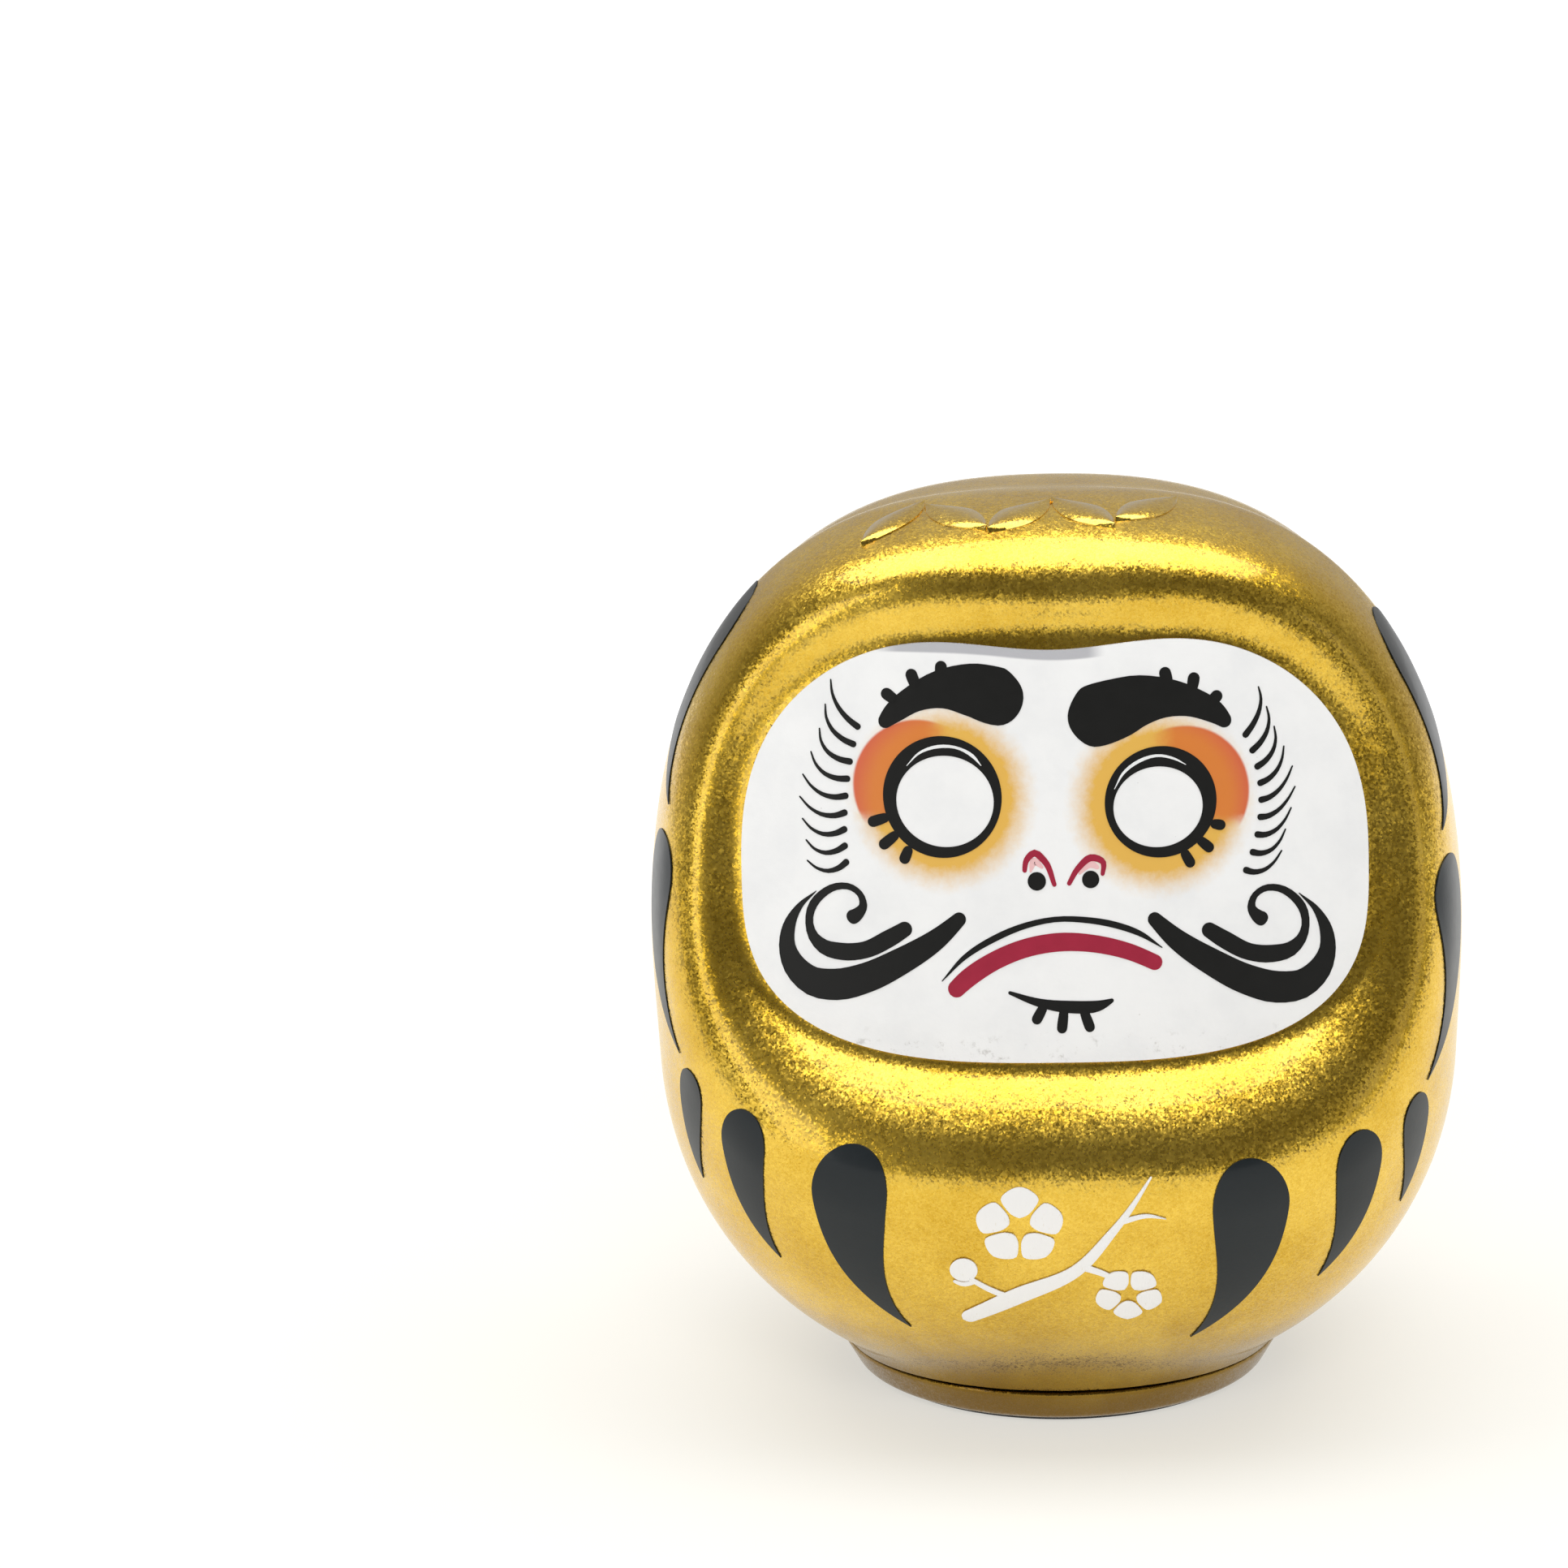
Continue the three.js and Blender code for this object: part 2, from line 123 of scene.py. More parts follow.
@dataclass(frozen=True)
class FaceForm:
    """The sunken face: its outline, its gently domed floor and the rolled rim round it."""

    centre_z: float = 57.0
    half_width: float = 30.2
    top_reach: float = 24.0
    bottom_reach: float = 17.9
    top_power: float = 2.44
    bottom_power: float = 3.14
    brow: float = 3.0
    brow_width: float = 11.7
    floor_y: float = -30.6
    lean: float = 0.176
    dome_radius: float = 75.0
    wall_slope: float = 0.9
    rim_round: float = 8.0
    floor_fillet: float = 1.0
    rim_swell: float = 1.9
    rim_offset: float = 4.0
    rim_width: float = 7.5
    rim_ramp: float = 8.0
    peak_round: float = 7.0
    peak_swell: float = 0.5
    peak_width: float = 8.0

    def outline(self, x: Array, z: Array) -> Array:
        """Measure how far points lie outside the outline of the face, seen from the front.

        Args:
            x: Runs across the face.
            z: Heights.

        Returns:
            The distances, negative inside.
        """
        up = z > self.centre_z
        reach = np.where(up, self.top_reach, self.bottom_reach)
        power = np.where(up, self.top_power, self.bottom_power)
        rise = z - self.centre_z
        value, slope_x, slope_z = norm(x, rise, self.half_width, reach, power)
        dip = np.where(up, self.brow * (rise / reach) * np.exp(-((x / self.brow_width) ** 2)), 0.0)
        return (value - 1) / np.hypot(slope_x, slope_z) + dip

    def floor(self, x: Array, z: Array) -> Array:
        """Return how far forward the floor of the recess lies, as a y."""
        rise = z - (self.centre_z - self.bottom_reach)
        return self.floor_y + self.lean * rise + x * x / (2 * self.dome_radius)

    def reach(self, angle: Array) -> Array:
        """Find how far the outline reaches from the face's centre.

        Args:
            angle: Angles round the centre.

        Returns:
            The reach at each angle.
        """
        def within(run: Array) -> Array:
            """Tell which runs from the centre end inside the outline."""
            return self.outline(run * np.cos(angle), self.centre_z + run * np.sin(angle)) < 0

        return last_inside(within, np.full_like(angle, 2 * self.half_width))


@dataclass(frozen=True)
class BodyForm:
    """The whole outer surface of the body, as a distance that is negative inside."""

    half_width: float = 39.1
    depth: float = 37.2
    widest_z: float = 34.3
    top_z: float = 89.4
    bottom_z: float = -0.9
    crown_power: float = 2.77
    belly_power: float = 1.98
    front_power: float = 2.59
    back_power: float = 2.2
    neck_radius: float = 21.5
    neck_rise: float = 14.0
    neck_blend: float = 3.0
    heart_y: float = 5.0
    face: FaceForm = FaceForm()

    def round_distance(self, x: Array, y: Array, z: Array) -> Array:
        """Measure how far points lie outside the round body, before the face is sunk into it.

        Args:
            x: Runs across.
            y: Runs from front to back.
            z: Heights.

        Returns:
            The distances, negative inside.
        """
        power = np.where(y < 0, self.front_power, self.back_power)
        plan, plan_x, plan_y = norm(x, y, self.half_width, self.depth, power)
        rise = z - self.widest_z
        reach = np.where(rise > 0, self.top_z - self.widest_z, self.widest_z - self.bottom_z)
        power = np.where(rise > 0, self.crown_power, self.belly_power)
        value, slope_plan, slope_z = norm(plan, rise, 1.0, reach, power)
        slope = np.sqrt((slope_plan * plan_x) ** 2 + (slope_plan * plan_y) ** 2 + slope_z**2)
        return (value - 1) / slope

    def distance(self, point: Array) -> Array:
        """Measure how far points lie outside the finished body.

        Args:
            point: Points of shape (n, 3).

        Returns:
            The distances, negative inside.
        """
        x, y, z = point[:, 0], point[:, 1], point[:, 2]
        face = self.face
        outline = face.outline(x, z)
        front = np.clip(-y / face.rim_ramp, 0, 1)
        front = front * front * (3 - 2 * front)
        up = np.clip((z - face.centre_z) / face.top_reach, 0, 1)
        peak = up * up * np.exp(-((x / face.peak_width) ** 2))
        crest = np.exp(-(((outline - face.rim_offset) / face.rim_width) ** 2))
        swell = (face.rim_swell + face.peak_swell * peak) * front * crest
        neck = np.maximum(np.maximum(np.hypot(x, y) - self.neck_radius, -z), z - self.neck_rise)
        body = rounded_min(self.round_distance(x, y, z) - swell, neck, self.neck_blend)
        ahead = face.floor(x, z) - y
        tilt = math.atan(face.wall_slope)
        wall = ahead * math.sin(tilt) - outline * math.cos(tilt)
        recess = rounded_min(ahead, wall, face.floor_fillet)
        return rounded_max(body, recess, face.rim_round + face.peak_round * peak)

    def meet(self, origin: Array, direction: Array, proud: float | Array = 0.0) -> Array:
        """Follow rays out to the surface.

        Args:
            origin: Start of each ray, inside the body.
            direction: Unit direction of each ray.
            proud: How far outside the surface the rays stop.

        Returns:
            The points where the rays end.
        """
        def within(run: Array) -> Array:
            """Tell which runs along the rays end inside."""
            return self.distance(origin + direction * run[:, None]) < proud

        return origin + direction * last_inside(within, np.full(len(origin), FAR_OUTSIDE))[:, None]

    def at_bearing(self, bearing: Array, z: Array, proud: float | Array = 0.0) -> Array:
        """Find points of the surface round the body.

        Args:
            bearing: Bearings, in radians; 0 faces the front.
            z: Heights.
            proud: How far outside the surface the points are.

        Returns:
            The points, of shape (n, 3).
        """
        origin = np.stack([np.zeros_like(z), np.zeros_like(z), z], axis=1)
        outward = np.stack([np.sin(bearing), -np.cos(bearing), np.zeros_like(z)], axis=1)
        return self.meet(origin, outward, proud)


FORM = BodyForm()


# ---------------------------------------------------------------- meshes


def vertex_places(mesh: Mesh) -> Array:
    """Return the places of a bmesh's vertices as an (n, 3) array."""
    return np.array([vertex.co[:] for vertex in mesh.verts], dtype=float)


def move_vertices(mesh: Mesh, places: Array) -> None:
    """Put a bmesh's vertices at the given places."""
    for vertex, place in zip(mesh.verts, places):
        vertex.co = place


class Slot(Enum):
    """The record's material slots."""

    GOLD = "gold_shell"
    FELT = "felt_cover"
    LABEL = "white_label"
    FILM = "black_film"
    PAINT = "white_paint"
    VARNISH = "clear_varnish"


def finished(name: str, mesh: Mesh, finish: Material, slot: Slot, *nodes: str) -> Piece:
    """Turn a bmesh in millimetres into a piece of the doll.

    Args:
        name: Name of the piece.
        mesh: The piece's bmesh, which is freed.
        finish: Material of the piece.
        slot: The record's material slot; not used.
        nodes: Frame nodes that the piece stands for.

    Returns:
        The new object, riding on the body.
    """
    bmesh.ops.recalc_face_normals(mesh, faces=mesh.faces)
    bmesh.ops.scale(mesh, vec=Vector((MM, MM, MM)), verts=mesh.verts)
    data = bpy.data.meshes.new(name)
    mesh.to_mesh(data)
    mesh.free()
    for polygon in data.polygons:
        polygon.use_smooth = True
    data.set_sharp_from_angle(angle=math.radians(SHARP_ANGLE))
    data.materials.append(finish)
    piece = bpy.data.objects.new(name, data)
    bpy.context.scene.collection.objects.link(piece)
    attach(piece, BODY)
    if nodes:
        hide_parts(*nodes)
    LOG.info("%s: %d faces", name, len(data.polygons))
    return piece


# ---------------------------------------------------------------- shader maths


class Value:
    """A number that varies over a surface, kept as a shader socket."""

    def __init__(self, shader: "Nodes", socket: Socket) -> None:
        """Keep the socket and the nodes it belongs to."""
        self.shader = shader
        self.socket = socket

    def math(self, operation: str, *others: Any, clamp: bool = False) -> "Value":
        """Return this value put through a Math node with up to two others."""
        return self.shader.math(operation, self, *others, clamp=clamp)

    def __add__(self, other: Any) -> "Value":
        """Add."""
        return self.math("ADD", other)

    __radd__ = __add__

    def __mul__(self, other: Any) -> "Value":
        """Multiply."""
        return self.math("MULTIPLY", other)

    __rmul__ = __mul__

    def __sub__(self, other: Any) -> "Value":
        """Subtract another from this."""
        return self.math("SUBTRACT", other)

    def __rsub__(self, other: Any) -> "Value":
        """Subtract this from another."""
        return self.shader.math("SUBTRACT", other, self)

    def __pow__(self, other: Any) -> "Value":
        """Raise to a power."""
        return self.math("POWER", other)

    def clamped(self) -> "Value":
        """Return the value held between 0 and 1."""
        return self.math("ADD", 0.0, clamp=True)

    def step(self, low: float, high: float) -> "Value":
        """Turn the value into a smooth step.

        Args:
            low: The step is 0 below this.
            high: The step is 1 above this.

        Returns:
            The step.
        """
        return self.shader.value(
            "ShaderNodeMapRange", {"interpolation_type": "SMOOTHSTEP", "clamp": True},
            {"Value": self, "From Min": low, "From Max": high, "To Min": 0.0, "To Max": 1.0}, "Result")


class Nodes:
    """Adds nodes to one tree."""

    def __init__(self, tree: bpy.types.NodeTree) -> None:
        """Take a tree and empty it."""
        self.tree = tree
        self.tree.nodes.clear()

    def feed(self, socket: Socket, value: Any) -> None:
        """Give a socket its value.

        Args:
            socket: The socket.
            value: A Value or a socket, which is linked, or a constant.
        """
        if isinstance(value, Value):
            value = value.socket
        if isinstance(value, Socket):
            self.tree.links.new(value, socket)
        else:
            socket.default_value = value

    def node(self, kind: str, settings: dict[str, Any] | None = None,
             inputs: dict[Any, Any] | None = None) -> bpy.types.Node:
        """Add a node.

        Args:
            kind: Type of the node.
            settings: Properties set on it first.
            inputs: Values or links of its sockets, by name or number.

        Returns:
            The node.
        """
        made = self.tree.nodes.new(kind)
        for key, value in (settings or {}).items():
            setattr(made, key, value)
        for key, value in (inputs or {}).items():
            self.feed(made.inputs[key], value)
        return made

    def value(self, kind: str, settings: dict[str, Any] | None, inputs: dict[Any, Any], output: Any) -> Value:
        """Add a node and return one of its outputs as a value."""
        return Value(self, self.node(kind, settings, inputs).outputs[output])

    def math(self, operation: str, *terms: Any, clamp: bool = False) -> Value:
        """Add a Math node for an operation on up to three terms."""
        inputs = dict(enumerate(terms))
        return self.value("ShaderNodeMath", {"operation": operation, "use_clamp": clamp}, inputs, 0)

    def millimetres(self) -> Socket:
        """Return the piece's own coordinates, in millimetres."""
        place = self.node("ShaderNodeTexCoord").outputs["Object"]
        return self.vector("SCALE", place, scale=1 / MM)

    def vector(self, operation: str, a: Any, b: Any = None, scale: float | None = None) -> Socket:
        """Add a Vector Math node.

        Args:
            operation: The node's operation.
            a: First vector.
            b: Second vector, if the operation takes one.
            scale: Scale, if the operation takes one.

        Returns:
            The node's vector.
        """
        inputs = {key: value for key, value in ((0, a), (1, b), ("Scale", scale)) if value is not None}
        return self.node("ShaderNodeVectorMath", {"operation": operation}, inputs).outputs["Vector"]

    def axes(self, vector: Socket) -> tuple[Value, Value, Value]:
        """Split a vector into its three numbers."""
        split = self.node("ShaderNodeSeparateXYZ", None, {0: vector})
        return tuple(Value(self, split.outputs[i]) for i in range(3))

    def noise(self, place: Any, scale: float, detail: float = 2.0, roughness: float = 0.5) -> Value:
        """Return fractal noise, about 0 to 1, whose cells are 1 / scale across."""
        return self.value("ShaderNodeTexNoise", None,
                          {"Vector": place, "Scale": scale, "Detail": detail, "Roughness": roughness}, "Fac")

    def mix(self, share: Any, a: Any, b: Any) -> Socket:
        """Mix two colours by a share from 0 to 1."""
        made = self.node("ShaderNodeMix", {"data_type": "RGBA", "clamp_factor": True}, {0: share, 6: a, 7: b})
        return made.outputs[2]

    def bump(self, height: Value, distance: float, normal: Any = None) -> Socket:
        """Bend a normal by a height.

        Args:
            height: The height, from 0 to 1.
            distance: What its full range stands for, in metres.
            normal: Normal to start from, if it isn't the surface's own.

        Returns:
            The bent normal.
        """
        start = {} if normal is None else {"Normal": normal}
        made = self.node("ShaderNodeBump", None, {"Height": height, "Distance": distance, **start})
        return made.outputs["Normal"]


class Shader(Nodes):
    """Builds one material out of nodes round a Principled shader."""

    def __init__(self, name: str) -> None:
        """Make a material with a Principled shader and its output.

        Args:
            name: Name of the material.
        """
        self.material = bpy.data.materials.new(name)
        self.material.use_nodes = True
        super().__init__(self.material.node_tree)
        self.surface = self.node("ShaderNodeBsdfPrincipled")
        self.node("ShaderNodeOutputMaterial", None, {"Surface": self.surface.outputs["BSDF"]})

    def dress(self, **sockets: Any) -> Material:
        """Fill sockets of the Principled shader.

        Args:
            sockets: Values by socket name, an underscore standing for a space.

        Returns:
            The material.
        """
        for name, value in sockets.items():
            self.feed(self.surface.inputs[name.replace("_", " ")], value)
        return self.material


# ---------------------------------------------------------------- finishes


@dataclass(frozen=True)
class GoldLacquer:
    """Gold paint with coarse metal flake under a clear gloss, over slightly lumpy paper pulp."""

    name: str = "gold_lacquer"
    deep: Colour = (0.60, 0.345, 0.012, 1.0)
    pale: Colour = (0.95, 0.655, 0.10, 1.0)
    # painted shade: the dark gold that the lower body and foot fade to, in place of the floor's shade
    foot_shade: Colour = (0.22, 0.12, 0.012, 1.0)
    grain: float = 0.13
    flake: float = 0.22
    grain_tilt: float = 0.13
    flake_tilt: float = 0.14
    roughness: float = 0.2
    lumps: float = 0.05
    coat: float = 0.35
    pulp_scale: float = 0.55
    swell_scale: float = 0.13
    cloud_scale: float = 0.09
    tone_shares: Triple = (0.25, 0.35, 0.4)
    # heights and wander of the edge of the painted shade towards the foot
    foot_shade_heights: Pair = (1.0, 15.0)
    foot_shade_wander: float = 6.0

    def tipped(self, shader: Shader, place: Any, normal: Any, size: float, tilt: float) -> tuple[Any, Value]:
        """Tip a normal at random in each flake.

        Args:
            shader: Shader the nodes go into.
            place: Coordinates in millimetres.
            normal: Normal to start from.
            size: Size of a flake.
            tilt: How far a flake may tip it.

        Returns:
            The tipped normal and a random number for each flake.
        """
        cells = shader.node("ShaderNodeTexVoronoi", {"feature": "F1"},
                            {"Vector": place, "Scale": 1 / size, "Randomness": 1.0})
        lean = shader.vector("SUBTRACT", cells.outputs["Color"], (0.5, 0.5, 0.5))
        lean = shader.vector("SCALE", lean, scale=tilt)
        random, _, _ = shader.axes(cells.outputs["Color"])
        return shader.vector("NORMALIZE", shader.vector("ADD", normal, lean)), random

    def material(self) -> Material:
        """Build the material.

        Returns:
            The material.
        """
        shader = Shader(self.name)
        place = shader.millimetres()
        pulp = shader.noise(place, self.pulp_scale, 3.0, 0.55)
        lumps = shader.bump(pulp, self.lumps * MM)
        lumps = shader.bump(shader.noise(place, self.swell_scale), 4 * self.lumps * MM, lumps)
        normal, grain = self.tipped(shader, place, lumps, self.grain, self.grain_tilt)
        normal, flake = self.tipped(shader, place, normal, self.flake, self.flake_tilt)
        cloud = shader.noise(place, self.cloud_scale, 4.0, 0.6)
        of_grain, of_flake, of_cloud = self.tone_shares
        tone = (grain * of_grain + flake * of_flake + cloud.step(0.3, 0.7) * of_cloud).clamped()
        _, _, z = shader.axes(place)
        colour = shader.mix(tone, self.deep, self.pale)
        # Painted shade: the gold darkens towards the foot, with a wandering edge.
        unshaded = (z + (cloud - 0.5) * self.foot_shade_wander).step(*self.foot_shade_heights)
        colour = shader.mix(unshaded, self.foot_shade, colour)
        rough = self.roughness + flake * 0.12 + pulp * 0.08
        return shader.dress(Base_Color=colour, Metallic=1.0, Roughness=rough, Normal=normal,
                            Coat_Weight=self.coat, Coat_Roughness=0.06)


@dataclass(frozen=True)
class Ink:
    """A flat printed or painted colour with a little unevenness."""

    name: str
    colour: Colour
    roughness: float = 0.4
    coat: float = 0.0
    mottle: float = 0.15
    specular: float = 0.25

    def material(self) -> Material:
        """Build the material.

        Returns:
            The material.
        """
        shader = Shader(self.name)
        place = shader.millimetres()
        cloud = shader.noise(place, 0.7, 4.0, 0.6)
        dark, light = (tuple(c * (1 + k * self.mottle) for c in self.colour[:3]) + (1.0,) for k in (-1, 1))
        return shader.dress(Base_Color=shader.mix(cloud, dark, light), Roughness=self.roughness + cloud * 0.1,
                            Specular_IOR_Level=self.specular, Coat_Weight=self.coat, Coat_Roughness=0.08,
                            Normal=shader.bump(shader.noise(place, 3.0, 2.0), 0.006 * MM))


@dataclass(frozen=True)
class BrushedPaint:
    """White paint put on with a small brush, streaky and a little raised."""

    colour: Colour = (0.86, 0.85, 0.84, 1.0)
    worn: Colour = (0.62, 0.52, 0.36, 1.0)
    streak: Triple = (3.0, 1.0, 0.6)

    def material(self) -> Material:
        """Build the material.

        Returns:
            The material.
        """
        shader = Shader("brushed_white_paint")
        place = shader.millimetres()
        streaks = shader.noise(shader.vector("MULTIPLY", place, self.streak), 1.4, 4.0, 0.65)
        colour = shader.mix(streaks.step(0.62, 0.8), self.colour, self.worn)
        return shader.dress(Base_Color=colour, Roughness=0.34 + streaks * 0.1,
                            Normal=shader.bump(streaks, 0.03 * MM), Coat_Weight=0.2)


@dataclass(frozen=True)
class Felt:
    """Black felt."""

    deep: Colour = (0.008, 0.008, 0.009, 1.0)
    pale: Colour = (0.05, 0.05, 0.052, 1.0)

    def material(self) -> Material:
        """Build the material.

        Returns:
            The material.
        """
        shader = Shader("black_felt")
        place = shader.millimetres()
        fuzz = shader.noise(place, 4.0, 5.0, 0.75)
        return shader.dress(Base_Color=shader.mix(fuzz, self.deep, self.pale), Roughness=0.95, Sheen_Weight=0.4,
                            Normal=shader.bump(fuzz, 0.25 * MM))


@dataclass(frozen=True)
class EyeShade:
    """Airbrushed shade round one eye: an ochre glow with an orange crescent on its outer side."""

    side: float
    centre: Pair
    crescent: Pair
    crescent_radius: float = 6.15
    glow: Pair = (5.0, 9.3)
    blank: float = 5.0
    soft_edge: float = 0.15
    glow_strength: float = 1.3
    crescent_strength: float = 0.97
    sprays: Triple = (1.6, 1.5, 1.2)
    outward: Pair = (-1.2, 1.6)
    foot: Pair = (-3.0, -1.2)
    reddening: Pair = (6.2, 8.6)
    ochre: Colour = (0.74, 0.43, 0.075, 1.0)
    orange: Colour = (0.66, 0.19, 0.03, 1.0)
    red: Colour = (0.62, 0.10, 0.03, 1.0)

    def over(self, shader: Shader, paper: Any, x: Value, z: Value, grain: Value) -> Any:
        """Return the paper's colour with this shade over it.

        Args:
            shader: Shader the nodes go into.
            paper: Colour of the paper.
            x: Run across the label, in mm.
            z: Height, in mm.
            grain: Noise of the airbrush.

        Returns:
            The shaded colour.
        """
        out = (x - self.centre[0]) * self.side
        from_eye = (out ** 2 + (z - self.centre[1]) ** 2) ** 0.5
        from_middle = ((x - self.crescent[0]) ** 2 + (z - self.crescent[1]) ** 2) ** 0.5
        spread, side_spread, foot_spread = ((grain - 0.5) * spray for spray in self.sprays)
        glow = 1.0 - (from_eye + spread).step(*self.glow)
        shaded = shader.mix((glow * self.glow_strength).clamped(), paper, self.ochre)
        inside = 1.0 - from_middle.step(self.crescent_radius - self.soft_edge, self.crescent_radius + self.soft_edge)
        beside = (out + side_spread).step(*self.outward)
        above = (z - self.centre[1] + foot_spread).step(*self.foot)
        tone = shader.mix(from_eye.step(*self.reddening), self.orange, self.red)
        shaded = shader.mix((inside * beside * above * self.crescent_strength).clamped(), shaded, tone)
        blank = 1.0 - from_eye.step(self.blank - 0.1, self.blank)
        return shader.mix(blank, shaded, paper)


@dataclass(frozen=True)
class CoatedPaper:
    """White coated paper with the soft shades round the eyes printed on it."""

    white: Colour = (0.87, 0.87, 0.865, 1.0)
    grey: Colour = (0.78, 0.785, 0.79, 1.0)
    shadow: Colour = (0.36, 0.36, 0.39, 1.0)
    dirt: Colour = (0.33, 0.31, 0.28, 1.0)
    # painted shade: a grey band along the label's top edge, under the hood
    hood_shade_height: float = 77.5
    hood_shade_dip: float = 0.75
    hood_shade_left: Pair = (-17.0, -14.0)
    hood_shade_right: Pair = (3.2, 5.2)
    hood_shade_depth: float = 0.8
    smudge_heights: Pair = (40.6, 43.2)
    smudge_depth: float = 0.55
    speck_depth: float = 0.5
    shades: tuple[EyeShade, ...] = (
        EyeShade(-1.0, (-10.3, 64.2), (-12.5, 65.1)),
        EyeShade(1.0, (10.0, 63.5), (12.1, 64.2)),
    )

    def material(self) -> Material:
        """Build the material.

        Returns:
            The material.
        """
        shader = Shader("printed_paper")
        place = shader.millimetres()
        x, _, z = shader.axes(place)
        cloud = shader.noise(place, 0.16, 4.0, 0.6)
        grain = shader.noise(place, 1.1, 5.0, 0.7)
        colour: Any = shader.mix((cloud.step(0.35, 0.75) * 0.6 + grain * 0.2).clamped(), self.white, self.grey)
        for shade in self.shades:
            colour = shade.over(shader, colour, x, z, grain)
        # Painted shade: a grey band along the label's top edge under the hood.
        colour = shader.mix(self.hood_shade(x, z), colour, self.shadow)
        colour = shader.mix(self.smudged(shader, place, z), colour, self.dirt)
        fibres = shader.bump(shader.noise(place, 2.2, 4.0, 0.7), 0.02 * MM)
        waves = shader.bump(shader.noise(place, 0.25, 2.0), 0.12 * MM, fibres)
        return shader.dress(Base_Color=colour, Roughness=0.38 + grain * 0.16, Normal=waves, Coat_Weight=0.15,
                            Coat_Roughness=0.2)

    def hood_shade(self, x: Value, z: Value) -> Value:
        """Find the painted shade along the label's top edge, under the hood.

        Args:
            x: Run across the label, in mm.
            z: Height, in mm.

        Returns:
            How deep the painted shade there is, from 0 to 1.
        """
        edge = self.hood_shade_height - self.hood_shade_dip * (((x - 0.5) * 0.16) ** 2 * -1.0).math("EXPONENT")
        span = x.step(*self.hood_shade_left) * (1.0 - x.step(*self.hood_shade_right))
        return ((z - edge).step(-0.15, 0.1) * span * self.hood_shade_depth).clamped()

    def smudged(self, shader: Shader, place: Any, z: Value) -> Value:
        """Find where the lower edge is smudged and the paper is specked.

        Args:
            shader: Shader the nodes go into.
            place: Coordinates in millimetres.
            z: Height, in mm.

        Returns:
            How dirty the paper is, from 0 to 1.
        """
        blot = shader.noise(place, 0.9, 5.0, 0.75)
        low = 1.0 - z.step(*self.smudge_heights)
        specks = shader.noise(place, 2.6, 2.0, 0.5)
        smudges = low * blot.step(0.56, 0.72) * self.smudge_depth
        return (smudges + specks.step(0.79, 0.83) * self.speck_depth).clamped()


# ---------------------------------------------------------------- what a mark lies on


@dataclass(frozen=True)
class LabelGround:
    """The printed face of the label; places are its own x and z."""

    glue: float = 0.15
    thickness: float = 0.3

    def place(self, a: Array, b: Array, proud: Array) -> Array:
        """Return the points at (a, b), proud of the paper."""
        return np.stack([a, FORM.face.floor(a, b) - self.glue - self.thickness - proud, b], axis=1)


@dataclass(frozen=True)
class BodyGround:
    """The lacquer round a bearing; places are a run round the body and a height."""

    bearing: float = 0.0

    def place(self, a: Array, b: Array, proud: Array) -> Array:
        """Return the points at (a, b), proud of the lacquer."""
        level = FORM.at_bearing(np.full_like(b, self.bearing), b)
        return FORM.at_bearing(self.bearing + a / np.hypot(level[:, 0], level[:, 1]), b, proud)


@dataclass(frozen=True)
class CrownGround:
    """The top of the head; places are x and y."""

    def place(self, a: Array, b: Array, proud: Array) -> Array:
        """Return the points at (a, b), proud of the lacquer."""
        below = np.stack([a, b, np.full_like(a, FORM.widest_z)], axis=1)
        return FORM.meet(below, np.tile([0.0, 0.0, 1.0], (len(a), 1)), proud)


@dataclass(frozen=True)
class Layer:
    """A layer on a ground: how proud its two sides are, and how much prouder its middle is than its edge."""

    ground: LabelGround | BodyGround | CrownGround
    low: float
    high: float
    dome: float = 0.0

    def lay(self, mesh: Mesh, faces: Sequence[Face], flat: Flat) -> None:
        """Thicken flat unit faces into a closed plate and lay it on the ground.

        Args:
            mesh: The bmesh the faces are in.
            faces: The unit faces, in the plane z = 0.
            flat: Turns unit coordinates into places on the ground.
        """
        top = bmesh.ops.extrude_face_region(mesh, geom=faces)["geom"]
        raised = [item for item in top if isinstance(item, bmesh.types.BMVert)]
        bmesh.ops.translate(mesh, vec=(0, 0, 1), verts=raised)
        verts = list(dict.fromkeys([vert for face in faces for vert in face.verts] + raised))
        unit = np.array([vert.co[:] for vert in verts], dtype=float)
        a, b = flat(unit[:, 0], unit[:, 1])
        swell = self.dome * (1 - np.clip(4 * unit[:, 1] ** 2, 0, 1)) * unit[:, 2]
        places = self.ground.place(a, b, self.low + (self.high - self.low) * unit[:, 2] + swell)
        for vert, place in zip(verts, places):
            vert.co = place


def unit_grid(mesh: Mesh, columns: int, rows: int) -> list[Face]:
    """Add a grid on the unit square and return its faces."""
    made = bmesh.ops.create_grid(mesh, x_segments=columns, y_segments=rows, size=0.5)
    return list(dict.fromkeys(face for vert in made["verts"] for face in vert.link_faces))


def round_off(u: Array, v: Array) -> tuple[Array, Array]:
    """Turn places in a square from -1 to 1 into places in a unit disc."""
    return u * np.sqrt(1 - v * v / 2), v * np.sqrt(1 - u * u / 2)


